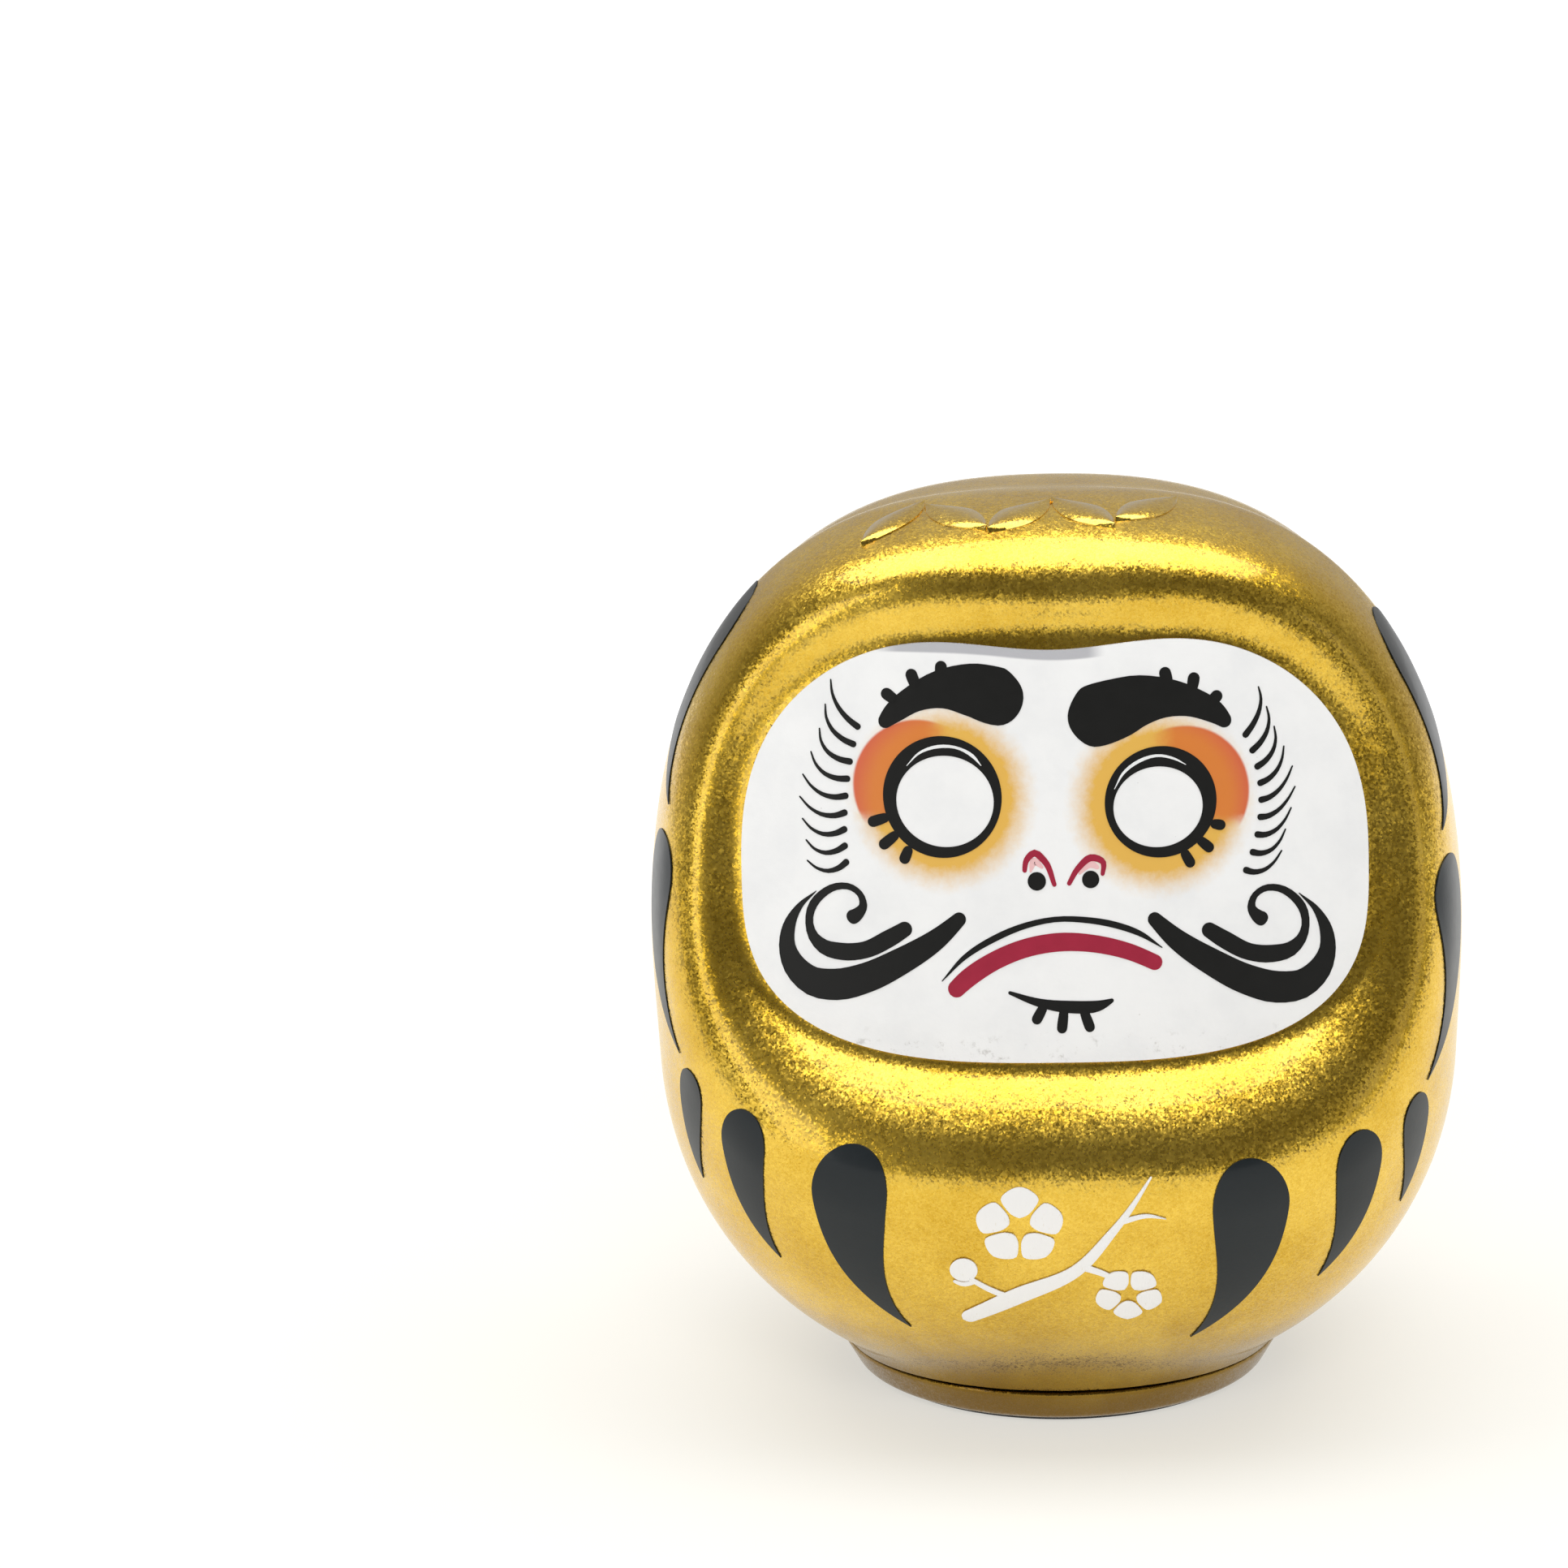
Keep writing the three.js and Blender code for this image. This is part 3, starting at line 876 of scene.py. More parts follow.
def smooth_through(knots: Array, at: Array) -> tuple[Array, Array]:
    """Run a smooth curve through knots of shape (n, k).

    Args:
        knots: The points to pass through; the first two columns set their spacing.
        at: Shares of the whole length, 0 to 1.

    Returns:
        The curve's values and its slopes.
    """
    gaps = np.hypot(*(knots[1:, :2] - knots[:-1, :2]).T)
    spot = np.concatenate([[0.0], np.cumsum(gaps)])
    slope = np.gradient(knots, spot, axis=0)
    where = at * spot[-1]
    i = np.clip(np.searchsorted(spot, where, side="right") - 1, 0, len(gaps) - 1)
    h = gaps[i][:, None]
    t = ((where - spot[i]) / gaps[i])[:, None]
    p, q, m, n = knots[i], knots[i + 1], slope[i] * h, slope[i + 1] * h
    value = (p * (1 + 2 * t) + m * t) * (1 - t) ** 2 + (q * (3 - 2 * t) + n * (t - 1)) * t * t
    pace = (q - p) * 6 * t * (1 - t) + m * (1 - t) * (1 - 3 * t) + n * t * (3 * t - 2)
    return value, pace / h


class Mark:
    """A mark that starts as a flat unit shape."""

    def unit(self, mesh: Mesh) -> list[Face]:
        """Add the unit shape to a bmesh and return its faces."""
        raise NotImplementedError

    def flat(self, u: Array, v: Array) -> tuple[Array, Array]:
        """Turn unit coordinates into places on the ground."""
        raise NotImplementedError

    def draw(self, mesh: Mesh, layer: Layer) -> None:
        """Draw the mark as a closed plate in a layer."""
        layer.lay(mesh, self.unit(mesh), self.flat)


@dataclass(frozen=True)
class Stroke(Mark):
    """A stroke of a brush: a smooth line through points (a, b, width) with round ends."""

    line: tuple[Triple, ...]
    steps: int = 28
    across: int = 2
    crowding: float = 0.85
    least_end: float = 0.02
    least_cap: float = 0.0004

    def unit(self, mesh: Mesh) -> list[Face]:
        """Add a grid that runs along the stroke and return its faces."""
        return unit_grid(mesh, self.steps, self.across)

    def flat(self, u: Array, v: Array) -> tuple[Array, Array]:
        """Turn unit coordinates into places on the ground.

        Args:
            u: Runs along the stroke, from -0.5 to 0.5.
            v: Runs across it, from -0.5 to 0.5.

        Returns:
            The two coordinates of each place.
        """
        knots = np.array(self.line, dtype=float)
        length = np.hypot(*(knots[1:, :2] - knots[:-1, :2]).T).sum()
        share = u + 0.5
        share = share - self.crowding * np.sin(2 * math.pi * share) / (2 * math.pi)
        value, pace = smooth_through(knots, np.clip(share, 0, 1))
        wide = np.maximum(value[:, 2], 0.0)
        for end, run in ((knots[0, 2] / 2, share * length), (knots[-1, 2] / 2, (1 - share) * length)):
            inward = np.clip(run / max(end, self.least_end), 0, 1)
            wide = wide * np.sqrt(np.clip(1 - (1 - inward) ** 2, self.least_cap, 1))
        out = wide * v / np.maximum(np.hypot(pace[:, 0], pace[:, 1]), 1e-6)
        return value[:, 0] - pace[:, 1] * out, value[:, 1] + pace[:, 0] * out


@dataclass(frozen=True)
class Dot(Mark):
    """A filled oval."""

    centre: Pair
    reach: Pair
    rows: int = 10

    def unit(self, mesh: Mesh) -> list[Face]:
        """Add a square grid and return its faces."""
        return unit_grid(mesh, self.rows, self.rows)

    def flat(self, u: Array, v: Array) -> tuple[Array, Array]:
        """Turn places in the unit square into places in the oval."""
        a, b = round_off(2 * u, 2 * v)
        return self.centre[0] + self.reach[0] * a, self.centre[1] + self.reach[1] * b


@dataclass(frozen=True)
class Ring(Mark):
    """A ring between two ovals that need not share a centre."""

    inner_centre: Pair
    inner: Pair
    outer_centre: Pair
    outer: Pair
    segments: int = 96

    def unit(self, mesh: Mesh) -> list[Face]:
        """Add a flat ring between radius 1 and 2.

        Args:
            mesh: The bmesh it goes into.

        Returns:
            Its faces.
        """
        made = bmesh.ops.create_circle(mesh, cap_ends=False, radius=1.0, segments=self.segments)
        edges = list(dict.fromkeys(edge for vert in made["verts"] for edge in vert.link_edges))
        wide = bmesh.ops.extrude_edge_only(mesh, edges=edges)["geom"]
        verts = [item for item in wide if isinstance(item, bmesh.types.BMVert)]
        bmesh.ops.scale(mesh, vec=(2, 2, 1), verts=verts)
        return [item for item in wide if isinstance(item, Face)]

    def flat(self, u: Array, v: Array) -> tuple[Array, Array]:
        """Turn places between radius 1 and 2 into places between the ovals.

        Args:
            u: First coordinate.
            v: Second coordinate.

        Returns:
            The two coordinates of each place.
        """
        radius = np.hypot(u, v)
        t = radius - 1
        a, b = ((self.inner_centre[i] + self.inner[i] * w / radius) * (1 - t)
                + (self.outer_centre[i] + self.outer[i] * w / radius) * t for i, w in enumerate((u, v)))
        return a, b


def painted(name: str, marks: Sequence[Mark], layer: Layer, finish: Material, slot: Slot,
            *nodes: str) -> Piece:
    """Make one piece out of marks in one layer.

    Args:
        name: Name of the piece.
        marks: The marks.
        layer: The layer they are in.
        finish: Material of the piece.
        slot: The record's material slot.
        nodes: Frame nodes that the piece stands for.

    Returns:
        The new object.
    """
    mesh = bmesh.new()
    for mark in marks:
        mark.draw(mesh, layer)
    return finished(name, mesh, finish, slot, *nodes)


# ---------------------------------------------------------------- the hollow body


@dataclass
class HollowBody:
    """The two lacquered half shells, with the face sunk into the front one."""

    columns: int = 300
    face_rings: int = 72
    body_rings: int = 140
    face_share: float = 1.3
    ring_knots: tuple[float, ...] = (0.0, 0.3, 0.45, 0.65, 1.0)
    ring_shares: tuple[float, ...] = (0.0, 0.9, 0.97, 1.03)
    neck_crowding: float = -0.45
    back_crowding: float = 0.12
    seam_y: float = 2.0
    wall: float = 2.4
    bottom_z: float = 4.05

    def ring_share(self, u: Array) -> Array:
        """Return the share of the outline's reach for rings u from 0 to 1, closest near the outline."""
        return np.interp(u, self.ring_knots, (*self.ring_shares, self.face_share))

    def directions(self, polar: Array, turn: Array) -> Array:
        """Aim a ray at the surface for each point of a ball.

        Args:
            polar: Angles of the points from straight ahead.
            turn: Their turns round that axis.

        Returns:
            The unit directions, of shape (n, 3).
        """
        face = FORM.face
        rings = self.face_rings + self.body_rings
        ring = polar / math.pi * rings
        angle = turn + self.neck_crowding * np.cos(turn)
        reach = face.reach(angle)

        def toward(share: Array) -> Array:
            """Aim at the face's floor.

            Args:
                share: Shares of the outline's reach.

            Returns:
                The unit directions.
            """
            run = share * reach
            x = run * np.cos(angle)
            z = face.centre_z + run * np.sin(angle)
            ray = np.stack([x, face.floor(x, z) - FORM.heart_y, z - face.centre_z], axis=1)
            return ray / np.linalg.norm(ray, axis=1)[:, None]

        front = toward(self.ring_share(np.clip(ring / self.face_rings, 0, 1)))
        edge = toward(np.full_like(ring, self.face_share))
        start = np.arccos(-edge[:, 1])
        past = np.clip((ring - self.face_rings) / self.body_rings, 0, 1)
        past = past - self.back_crowding * np.sin(2 * math.pi * past) / (2 * math.pi)
        swing = start + (math.pi - start) * past
        side = np.hypot(edge[:, 0], edge[:, 2])
        flat = np.sin(swing) / side
        behind = np.stack([edge[:, 0] * flat, -np.cos(swing), edge[:, 2] * flat], axis=1)
        return np.where((ring <= self.face_rings)[:, None], front, behind)

    def skin(self) -> Mesh:
        """Press a closed ball onto the whole outer surface of the body's form.

        Returns:
            The pressed ball.
        """
        mesh = bmesh.new()
        rings = self.face_rings + self.body_rings
        bmesh.ops.create_uvsphere(mesh, u_segments=self.columns, v_segments=rings, radius=1.0)
        forward = Matrix.Rotation(math.radians(90), 3, "X")
        bmesh.ops.rotate(mesh, cent=(0, 0, 0), matrix=forward, verts=mesh.verts)
        ball = vertex_places(mesh)
        polar = np.arccos(np.clip(-ball[:, 1], -1, 1))
        polar = np.round(polar / math.pi * rings) * math.pi / rings
        turn = np.arctan2(ball[:, 2], ball[:, 0])
        heart = np.tile([0.0, FORM.heart_y, FORM.face.centre_z], (len(ball), 1))
        move_vertices(mesh, FORM.meet(heart, self.directions(polar, turn)))
        return mesh

    def half(self, skin: Mesh, front: bool, gold: Material) -> Piece:
        """Cut one half shell out of the skin and give it its wall.

        Args:
            skin: The whole outer surface.
            front: Whether it is the front half.
            gold: Material of the lacquer.

        Returns:
            The new object.
        """
        mesh = skin.copy()
        cuts = ((0, self.seam_y, 0), (0, 1, 0), front), ((0, 0, self.bottom_z), (0, 0, 1), False)
        for place, normal, beyond in cuts:
            bmesh.ops.bisect_plane(mesh, geom=mesh.verts[:] + mesh.edges[:] + mesh.faces[:], dist=1e-4,
                                   plane_co=place, plane_no=normal, clear_outer=beyond, clear_inner=not beyond)
        bmesh.ops.recalc_face_normals(mesh, faces=mesh.faces)
        bmesh.ops.solidify(mesh, geom=mesh.faces[:], thickness=self.wall)
        name = "front" if front else "back"
        return finished(f"{name}_body", mesh, gold, Slot.GOLD, f"{name}_shell")

    def build(self, gold: Material) -> None:
        """Build both half shells.

        Args:
            gold: Material of the lacquer.
        """
        skin = self.skin()
        self.half(skin, True, gold)
        self.half(skin, False, gold)
        skin.free()


@dataclass
class Foot:
    """The weighted foot with the felt under it."""

    cover: float = 0.6
    cover_radius: float = 19.0
    cover_edge: float = 0.25
    cover_hole: float = 0.4
    bottom_radius: float = 20.4
    top_radius: float = 22.3
    top: float = 3.9
    edge: float = 0.8
    boss_radius: float = 17.2
    boss_top: float = 12.9
    stick_hole: float = 3.0
    steps: int = 160
    arc_steps: int = 6

    def turned(self, corners: Sequence[Triple]) -> Mesh:
        """Spin a closed profile round the upright axis.

        Args:
            corners: Radius, height and rounding of each corner.

        Returns:
            The turned shape.
        """
        mesh = bmesh.new()
        outline: list[Vector] = []
        places = [Vector((radius, 0, height)) for radius, height, _ in corners]
        for i, (here, (_, _, rounding)) in enumerate(zip(places, corners)):
            start = here + (places[i - 1] - here).normalized() * rounding
            end = here + (places[(i + 1) % len(places)] - here).normalized() * rounding
            shares = [step / self.arc_steps for step in range(self.arc_steps + 1)] if rounding else [0.0]
            outline += [start * (1 - t) ** 2 + here * 2 * t * (1 - t) + end * t * t for t in shares]
        verts = [mesh.verts.new(point) for point in outline]
        edges = [mesh.edges.new((verts[i - 1], verts[i])) for i in range(len(verts))]
        bmesh.ops.spin(mesh, geom=verts + edges, cent=(0, 0, 0), axis=(0, 0, 1), angle=2 * math.pi,
                       steps=self.steps, use_merge=True)
        bmesh.ops.remove_doubles(mesh, verts=mesh.verts, dist=1e-4)
        return mesh

    def build(self, gold: Material, felt: Material) -> None:
        """Build the foot and its cover.

        Args:
            gold: Material of the foot.
            felt: Material of the cover.
        """
        body = self.turned([
            (self.stick_hole, self.cover, 0.0), (self.bottom_radius, self.cover, self.edge),
            (self.top_radius, self.top, self.edge), (self.boss_radius, self.top, 0.0),
            (self.boss_radius, self.boss_top, self.edge), (self.stick_hole, self.boss_top, 0.0)])
        finished("foot", body, gold, Slot.GOLD, "foot_weight")
        cover = self.turned([
            (self.cover_hole, 0.0, 0.0), (self.cover_radius, 0.0, self.cover_edge),
            (self.cover_radius, self.cover, 0.0), (self.cover_hole, self.cover, 0.0)])
        finished("felt_cover", cover, felt, Slot.FELT, "base_cover")


# ---------------------------------------------------------------- the printed face


@dataclass
class FaceLabel:
    """The printed paper on the floor of the face."""

    margin: float = 0.7
    glue: float = 0.15
    thickness: float = 0.3
    rows: int = 96

    def flat(self, u: Array, v: Array) -> tuple[Array, Array]:
        """Turn places in the unit square into places on the face's floor.

        Args:
            u: First coordinate.
            v: Second coordinate.

        Returns:
            The x and z of each place.
        """
        a, b = round_off(2 * u, 2 * v)
        angle = np.arctan2(b, a)
        reach = (FORM.face.reach(angle) - self.margin) * np.hypot(a, b)
        return reach * np.cos(angle), FORM.face.centre_z + reach * np.sin(angle)

    def build(self, paper: Material) -> None:
        """Build the sheet.

        Args:
            paper: Material of the sheet.
        """
        mesh = bmesh.new()
        sheet = Layer(LabelGround(self.glue, 0.0), 0.0, self.thickness)
        sheet.lay(mesh, unit_grid(mesh, self.rows, self.rows), self.flat)
        finished("label", mesh, paper, Slot.LABEL, "face_label")


@dataclass
class PrintedFace:
    """The features printed on the label, each one a thin layer of ink."""

    ground: LabelGround = LabelGround()
    under: float = -0.04
    over: float = 0.045
    whiskers: int = 9
    hair_root: float = 0.14
    hair_swell: float = 0.5
    hair_wander: float = 0.35
    slant: float = 2.4
    slant_about: Pair = (4.0, 43.0)

    def ink(self, name: str, marks: Sequence[Mark], finish: Material, lift: float = 0.0) -> None:
        """Print one feature, lifted over what is printed under it."""
        painted(name, marks, Layer(self.ground, self.under + lift, self.over + lift), finish, Slot.LABEL)

    def bars(self, *ends: tuple[float, float, float, float, float]) -> list[Stroke]:
        """Return short round-ended bars given as start, end and width."""
        return [Stroke(((a, b, w * 0.8), ((a + c) / 2, (b + d) / 2, w), (c, d, w)), 12)
                for a, b, c, d, w in ends]

    def whisker_fan(self, *hairs: Sequence[Pair]) -> list[Stroke]:
        """Draw a fan of fine hairs that runs evenly through three given ones.

        Args:
            hairs: Root, middle and tip of the top hair, a middle one and the bottom one.

        Returns:
            The strokes.
        """
        given = np.array(hairs, dtype=float)
        fan = []
        for i in range(self.whiskers):
            hair = self.between(given, i / (self.whiskers - 1))
            hair[0, 0] += self.hair_wander * math.sin(5.1 * i + 0.7) * np.sign(hair[0, 0])
            line = tuple((*self.between(hair, share), self.hair_root + self.hair_swell * share)
                         for share in (0.0, 0.25, 0.5, 0.75, 1.0))
            fan.append(Stroke(line, 20))
        return fan

    def between(self, three: Array, t: float) -> Array:
        """Run a parabola through three values, from the first at 0 to the last at 1."""
        return three[0] * (2 * t - 1) * (t - 1) + three[1] * 4 * t * (1 - t) + three[2] * t * (2 * t - 1)

    def eyes(self, black: Material, white: Material) -> None:
        """Print the rims of the blank eyes, the glint in each rim and the lashes below.

        Args:
            black: Ink of the rims and lashes.
            white: Ink of the glints.
        """
        left = Ring((-10.05, 63.8), (4.55, 4.2), (-10.3, 64.2), (5.55, 5.6))
        right = Ring((9.75, 63.05), (4.15, 3.7), (10.0, 63.5), (5.2, 5.1))
        self.ink("eye_rim_left", [left], black)
        self.ink("eye_rim_right", [right], black)
        glint_left = Stroke(((-13.6, 67.0, 0.05), (-12.4, 68.2, 0.2), (-10.5, 68.85, 0.3), (-8.7, 68.7, 0.24),
                             (-7.4, 68.0, 0.3), (-6.6, 67.1, 0.05)))
        glint_right = Stroke(((5.7, 64.8, 0.05), (6.6, 66.3, 0.24), (7.9, 67.25, 0.3), (9.8, 67.75, 0.24),
                              (11.3, 67.4, 0.2), (12.4, 66.8, 0.05)))
        self.ink("eye_glint_left", [glint_left], white, 0.03)
        self.ink("eye_glint_right", [glint_right], white, 0.03)
        self.ink("lashes_left", self.bars((-15.3, 62.3, -17.3, 61.6, 1.0), (-14.5, 60.8, -16.2, 59.4, 1.0),
                                          (-13.4, 59.6, -14.1, 58.0, 1.0)), black, 0.01)
        self.ink("lashes_right", self.bars((14.6, 61.3, 16.0, 61.0, 0.95), (13.4, 60.0, 14.8, 58.8, 0.95),
                                           (12.0, 59.0, 12.9, 57.4, 0.95)), black, 0.01)

    def brows(self, black: Material) -> None:
        """Print the eyebrows and the tufts on them.

        Args:
            black: Ink of the brows.
        """
        left = Stroke(((-2.6, 73.3, 4.6), (-4.6, 73.4, 5.3), (-7.4, 74.05, 4.9), (-10.2, 74.1, 3.6),
                       (-12.8, 73.2, 2.5), (-14.8, 71.8, 1.9), (-16.0, 70.6, 1.0)), 40, 4)
        right = Stroke(((1.5, 71.1, 4.2), (3.2, 71.4, 5.5), (5.8, 72.1, 5.6), (8.0, 72.8, 4.8),
                        (10.4, 73.0, 3.7), (13.0, 72.5, 2.7), (15.2, 71.4, 2.0), (16.5, 70.2, 1.0)), 40, 4)
        left_tufts = self.bars((-14.4, 72.9, -15.8, 73.9, 1.1), (-12.5, 74.0, -13.2, 75.9, 1.1),
                               (-10.3, 75.0, -10.2, 76.7, 1.1))
        right_tufts = self.bars((10.9, 74.0, 10.4, 75.8, 1.1), (13.0, 73.4, 13.3, 75.2, 1.1),
                                (14.6, 72.2, 15.7, 73.3, 1.1))
        self.ink("brow_left", [left, *left_tufts], black)
        self.ink("brow_right", [right, *right_tufts], black)

    def nose(self, crimson: Material, pink: Material, black: Material) -> None:
        """Print the nostrils and the curved lines over them.

        Args:
            crimson: Ink of the lines.
            pink: Ink of the tint under them.
            black: Ink of the nostrils.
        """
        self.ink("nose_left", [Stroke(((-2.75, 57.3, 0.4), (-2.5, 58.5, 0.55), (-1.8, 59.1, 0.65),
                                       (-0.9, 58.4, 0.6), (0.1, 56.0, 0.4)))], crimson)
        self.ink("nose_right", [Stroke(((1.3, 56.1, 0.4), (2.3, 57.7, 0.55), (3.5, 58.6, 0.65),
                                        (4.55, 58.2, 0.55), (4.5, 56.9, 0.35)))], crimson)
        self.ink("nostril_left", [Dot((-1.6, 56.5), (0.85, 0.85))], black, 0.01)
        self.ink("nostril_right", [Dot((3.4, 56.6), (0.8, 0.8))], black, 0.01)
        self.ink("nose_tint", [Stroke(((-2.2, 57.3, 0.15), (-1.8, 58.3, 0.7), (-1.0, 57.7, 0.2))),
                               Stroke(((2.3, 57.1, 0.2), (3.4, 58.0, 0.7), (4.2, 57.6, 0.3)))], pink, -0.02)

    def mouth(self, crimson: Material, black: Material) -> None:
        """Print the lip, the line over it and the tuft on the chin.

        Args:
            crimson: Ink of the lip.
            black: Ink of the line and the tuft.
        """
        lip = Stroke(((-9.8, 46.0, 1.5), (-8.2, 47.5, 1.7), (-5.6, 49.2, 1.7), (-2.6, 50.4, 1.7),
                      (0.6, 50.9, 1.7), (3.6, 50.7, 1.6), (6.8, 49.9, 1.5), (9.9, 48.5, 1.4)), 60)
        self.ink("mouth", [lip], crimson)
        line = Stroke(((-10.6, 47.2, 0.08), (-8.4, 49.5, 0.45), (-5.7, 51.2, 0.6), (-2.5, 52.5, 0.55),
                       (0.2, 53.0, 0.5), (2.8, 52.9, 0.55), (5.5, 52.4, 0.6), (7.9, 51.5, 0.5),
                       (10.0, 50.1, 0.08)), 48)
        self.ink("lip_line", [line], black)
        chin = Stroke(((-4.4, 46.3, 0.3), (-1.4, 45.3, 0.8), (1.6, 44.9, 1.15), (4.1, 45.0, 0.95),
                       (5.4, 45.5, 0.3)))
        self.ink("chin_tuft", [chin, *self.bars((-1.0, 45.2, -2.0, 43.4, 0.95), (0.8, 44.9, 0.5, 42.5, 0.95),
                                                (2.5, 44.8, 3.3, 42.6, 0.95))], black)

    def moustache(self, black: Material) -> None:
        """Print the two curls of the moustache, the right one a little aslant.

        Args:
            black: Ink of the moustache.
        """
        sweep = ((8.4, 53.4, 1.15), (11.0, 51.1, 1.9), (14.4, 48.95, 2.45), (17.8, 47.25, 2.75),
                 (20.6, 46.5, 2.9), (22.9, 46.7, 2.75), (24.5, 48.0, 2.3), (25.2, 49.8, 1.6), (25.0, 51.6, 1.2),
                 (24.0, 53.5, 0.6), (22.3, 55.1, 0.06))
        curl = ((13.4, 52.3, 1.3), (15.5, 51.0, 1.6), (17.8, 49.85, 1.55), (20.0, 49.6, 1.6),
                (21.7, 49.95, 1.4), (22.7, 50.9, 1.0), (23.05, 52.2, 0.75), (22.8, 53.5, 0.8), (21.8, 54.8, 0.75),
                (20.4, 55.6, 0.65), (19.0, 55.6, 0.6), (18.1, 54.9, 0.6), (17.9, 53.9, 0.8), (18.5, 53.1, 1.2),
                (19.4, 52.6, 1.6))
        left = [Stroke(tuple((-a, b, w) for a, b, w in line), 64, 3) for line in (sweep, curl)]
        self.ink("moustache_left", left, black)
        slant = math.tan(math.radians(self.slant))
        across, up = self.slant_about
        right = [Stroke(tuple((a + (b - up) * slant, b - (a - across) * slant, w) for a, b, w in line), 64, 3)
                 for line in (sweep, curl)]
        self.ink("moustache_right", right, black)

    def build(self, black: Material, crimson: Material, pink: Material, white: Material) -> None:
        """Print the whole face.

        Args:
            black: Ink of the lines, tufts and whiskers.
            crimson: Ink of the nose and the lip.
            pink: Ink of the tint in the nose.
            white: Ink of the glints.
        """
        self.eyes(black, white)
        self.brows(black)
        self.nose(crimson, pink, black)
        self.mouth(crimson, black)
        self.moustache(black)
        left = self.whisker_fan([(-20.4, 74.8), (-20.0, 72.3), (-17.9, 70.3)],
                                [(-23.2, 65.9), (-21.6, 64.1), (-19.1, 64.1)],
                                [(-23.4, 57.9), (-21.2, 57.0), (-19.2, 58.1)])
        right = self.whisker_fan([(19.0, 73.6), (19.3, 71.4), (17.8, 69.0)],
                                 [(22.1, 66.1), (21.0, 63.9), (19.1, 63.1)],
                                 [(21.5, 58.4), (19.6, 56.7), (17.6, 56.9)])
        self.ink("whiskers_left", left, black)
        self.ink("whiskers_right", right, black)


# ---------------------------------------------------------------- what is stuck or painted on the lacquer


@dataclass(frozen=True)
class Flame:
    """One comma of black film: a round head above and a tail that bulges and swings to its tip."""

    name: str
    bearing: float
    top: float
    drop: float
    width: float
    bulge: float
    tip: float
    head: float = 0.24
    end: float = 0.012
    taper: float = 1.5
    rows: int = 56
    columns: int = 10
    low: float = 0.02
    high: float = 0.12

    def outline(self, side: float, top: float) -> Flat:
        """Shape the flame for one side of the body.

        Args:
            side: -1 for the left, 1 for the right.
            top: Height of the top of its head.

        Returns:
            The function that turns unit coordinates into places on the body.
        """
        def flat(u: Array, v: Array) -> tuple[Array, Array]:
            """Turn unit coordinates into places on the body.

            Args:
                u: Runs across the flame, from -0.5 to 0.5.
                v: Runs up it, from -0.5 to 0.5.

            Returns:
                The run round the body and the height of each place.
            """
            along = 0.5 - np.sin(math.pi * v) / 2
            head = np.sqrt(np.clip(1 - (1 - along / self.head) ** 2, 0, 1))
            tail = 1 - np.clip((along - self.head) / (1 - self.head), 0, 1) ** self.taper
            width = self.width * np.maximum(np.where(along < self.head, head, tail), self.end)
            away = along * along * (self.bulge * 6.75 * (1 - along) + self.tip)
            return u * width + side * away, top - self.drop * along

        return flat

    def build(self, side: float, turn: float, slant: float, film: Material) -> None:
        """Build the flame on one side.

        Args:
            side: -1 for the left, 1 for the right.
            turn: How far the whole set is turned, in degrees.
            slant: How much it leans to one side.
            film: Material of the film.
        """
        bearing = math.radians(self.bearing * side + turn)
        top = self.top - slant * FORM.half_width * math.sin(bearing)
        mesh = bmesh.new()
        faces = unit_grid(mesh, self.columns, self.rows)
        Layer(BodyGround(bearing), self.low, self.high).lay(mesh, faces, self.outline(side, top))
        name = f"{self.name}_{'left' if side < 0 else 'right'}"
        finished(f"{name}_film", mesh, film, Slot.FILM, f"flame_{name}")


@dataclass
class FilmSet:
    """All the flames, put on by hand a little turned and a little aslant."""

    turn: float = -1.1
    slant: float = 0.042
    flames: tuple[Flame, ...] = (
        Flame("lower_front", 27.7, 32.4, 20.3, 7.4, 1.6, -1.0),
        Flame("lower_middle", 43.9, 34.0, 15.8, 5.7, 1.1, 0.2),
        Flame("lower_back", 55.2, 36.0, 11.7, 4.9, 0.6, 1.6),
        Flame("side_middle", 66.5, 57.5, 20.5, 8.4, 2.0, -6.5),
        Flame("side_upper", 74.0, 80.0, 20.0, 9.5, 2.0, -6.0),
    )

    def build(self, film: Material) -> None:
        """Build every flame on both sides.

        Args:
            film: Material of the film.
        """
        for side in (-1.0, 1.0):
            for flame in self.flames:
                flame.build(side, self.turn, self.slant, film)


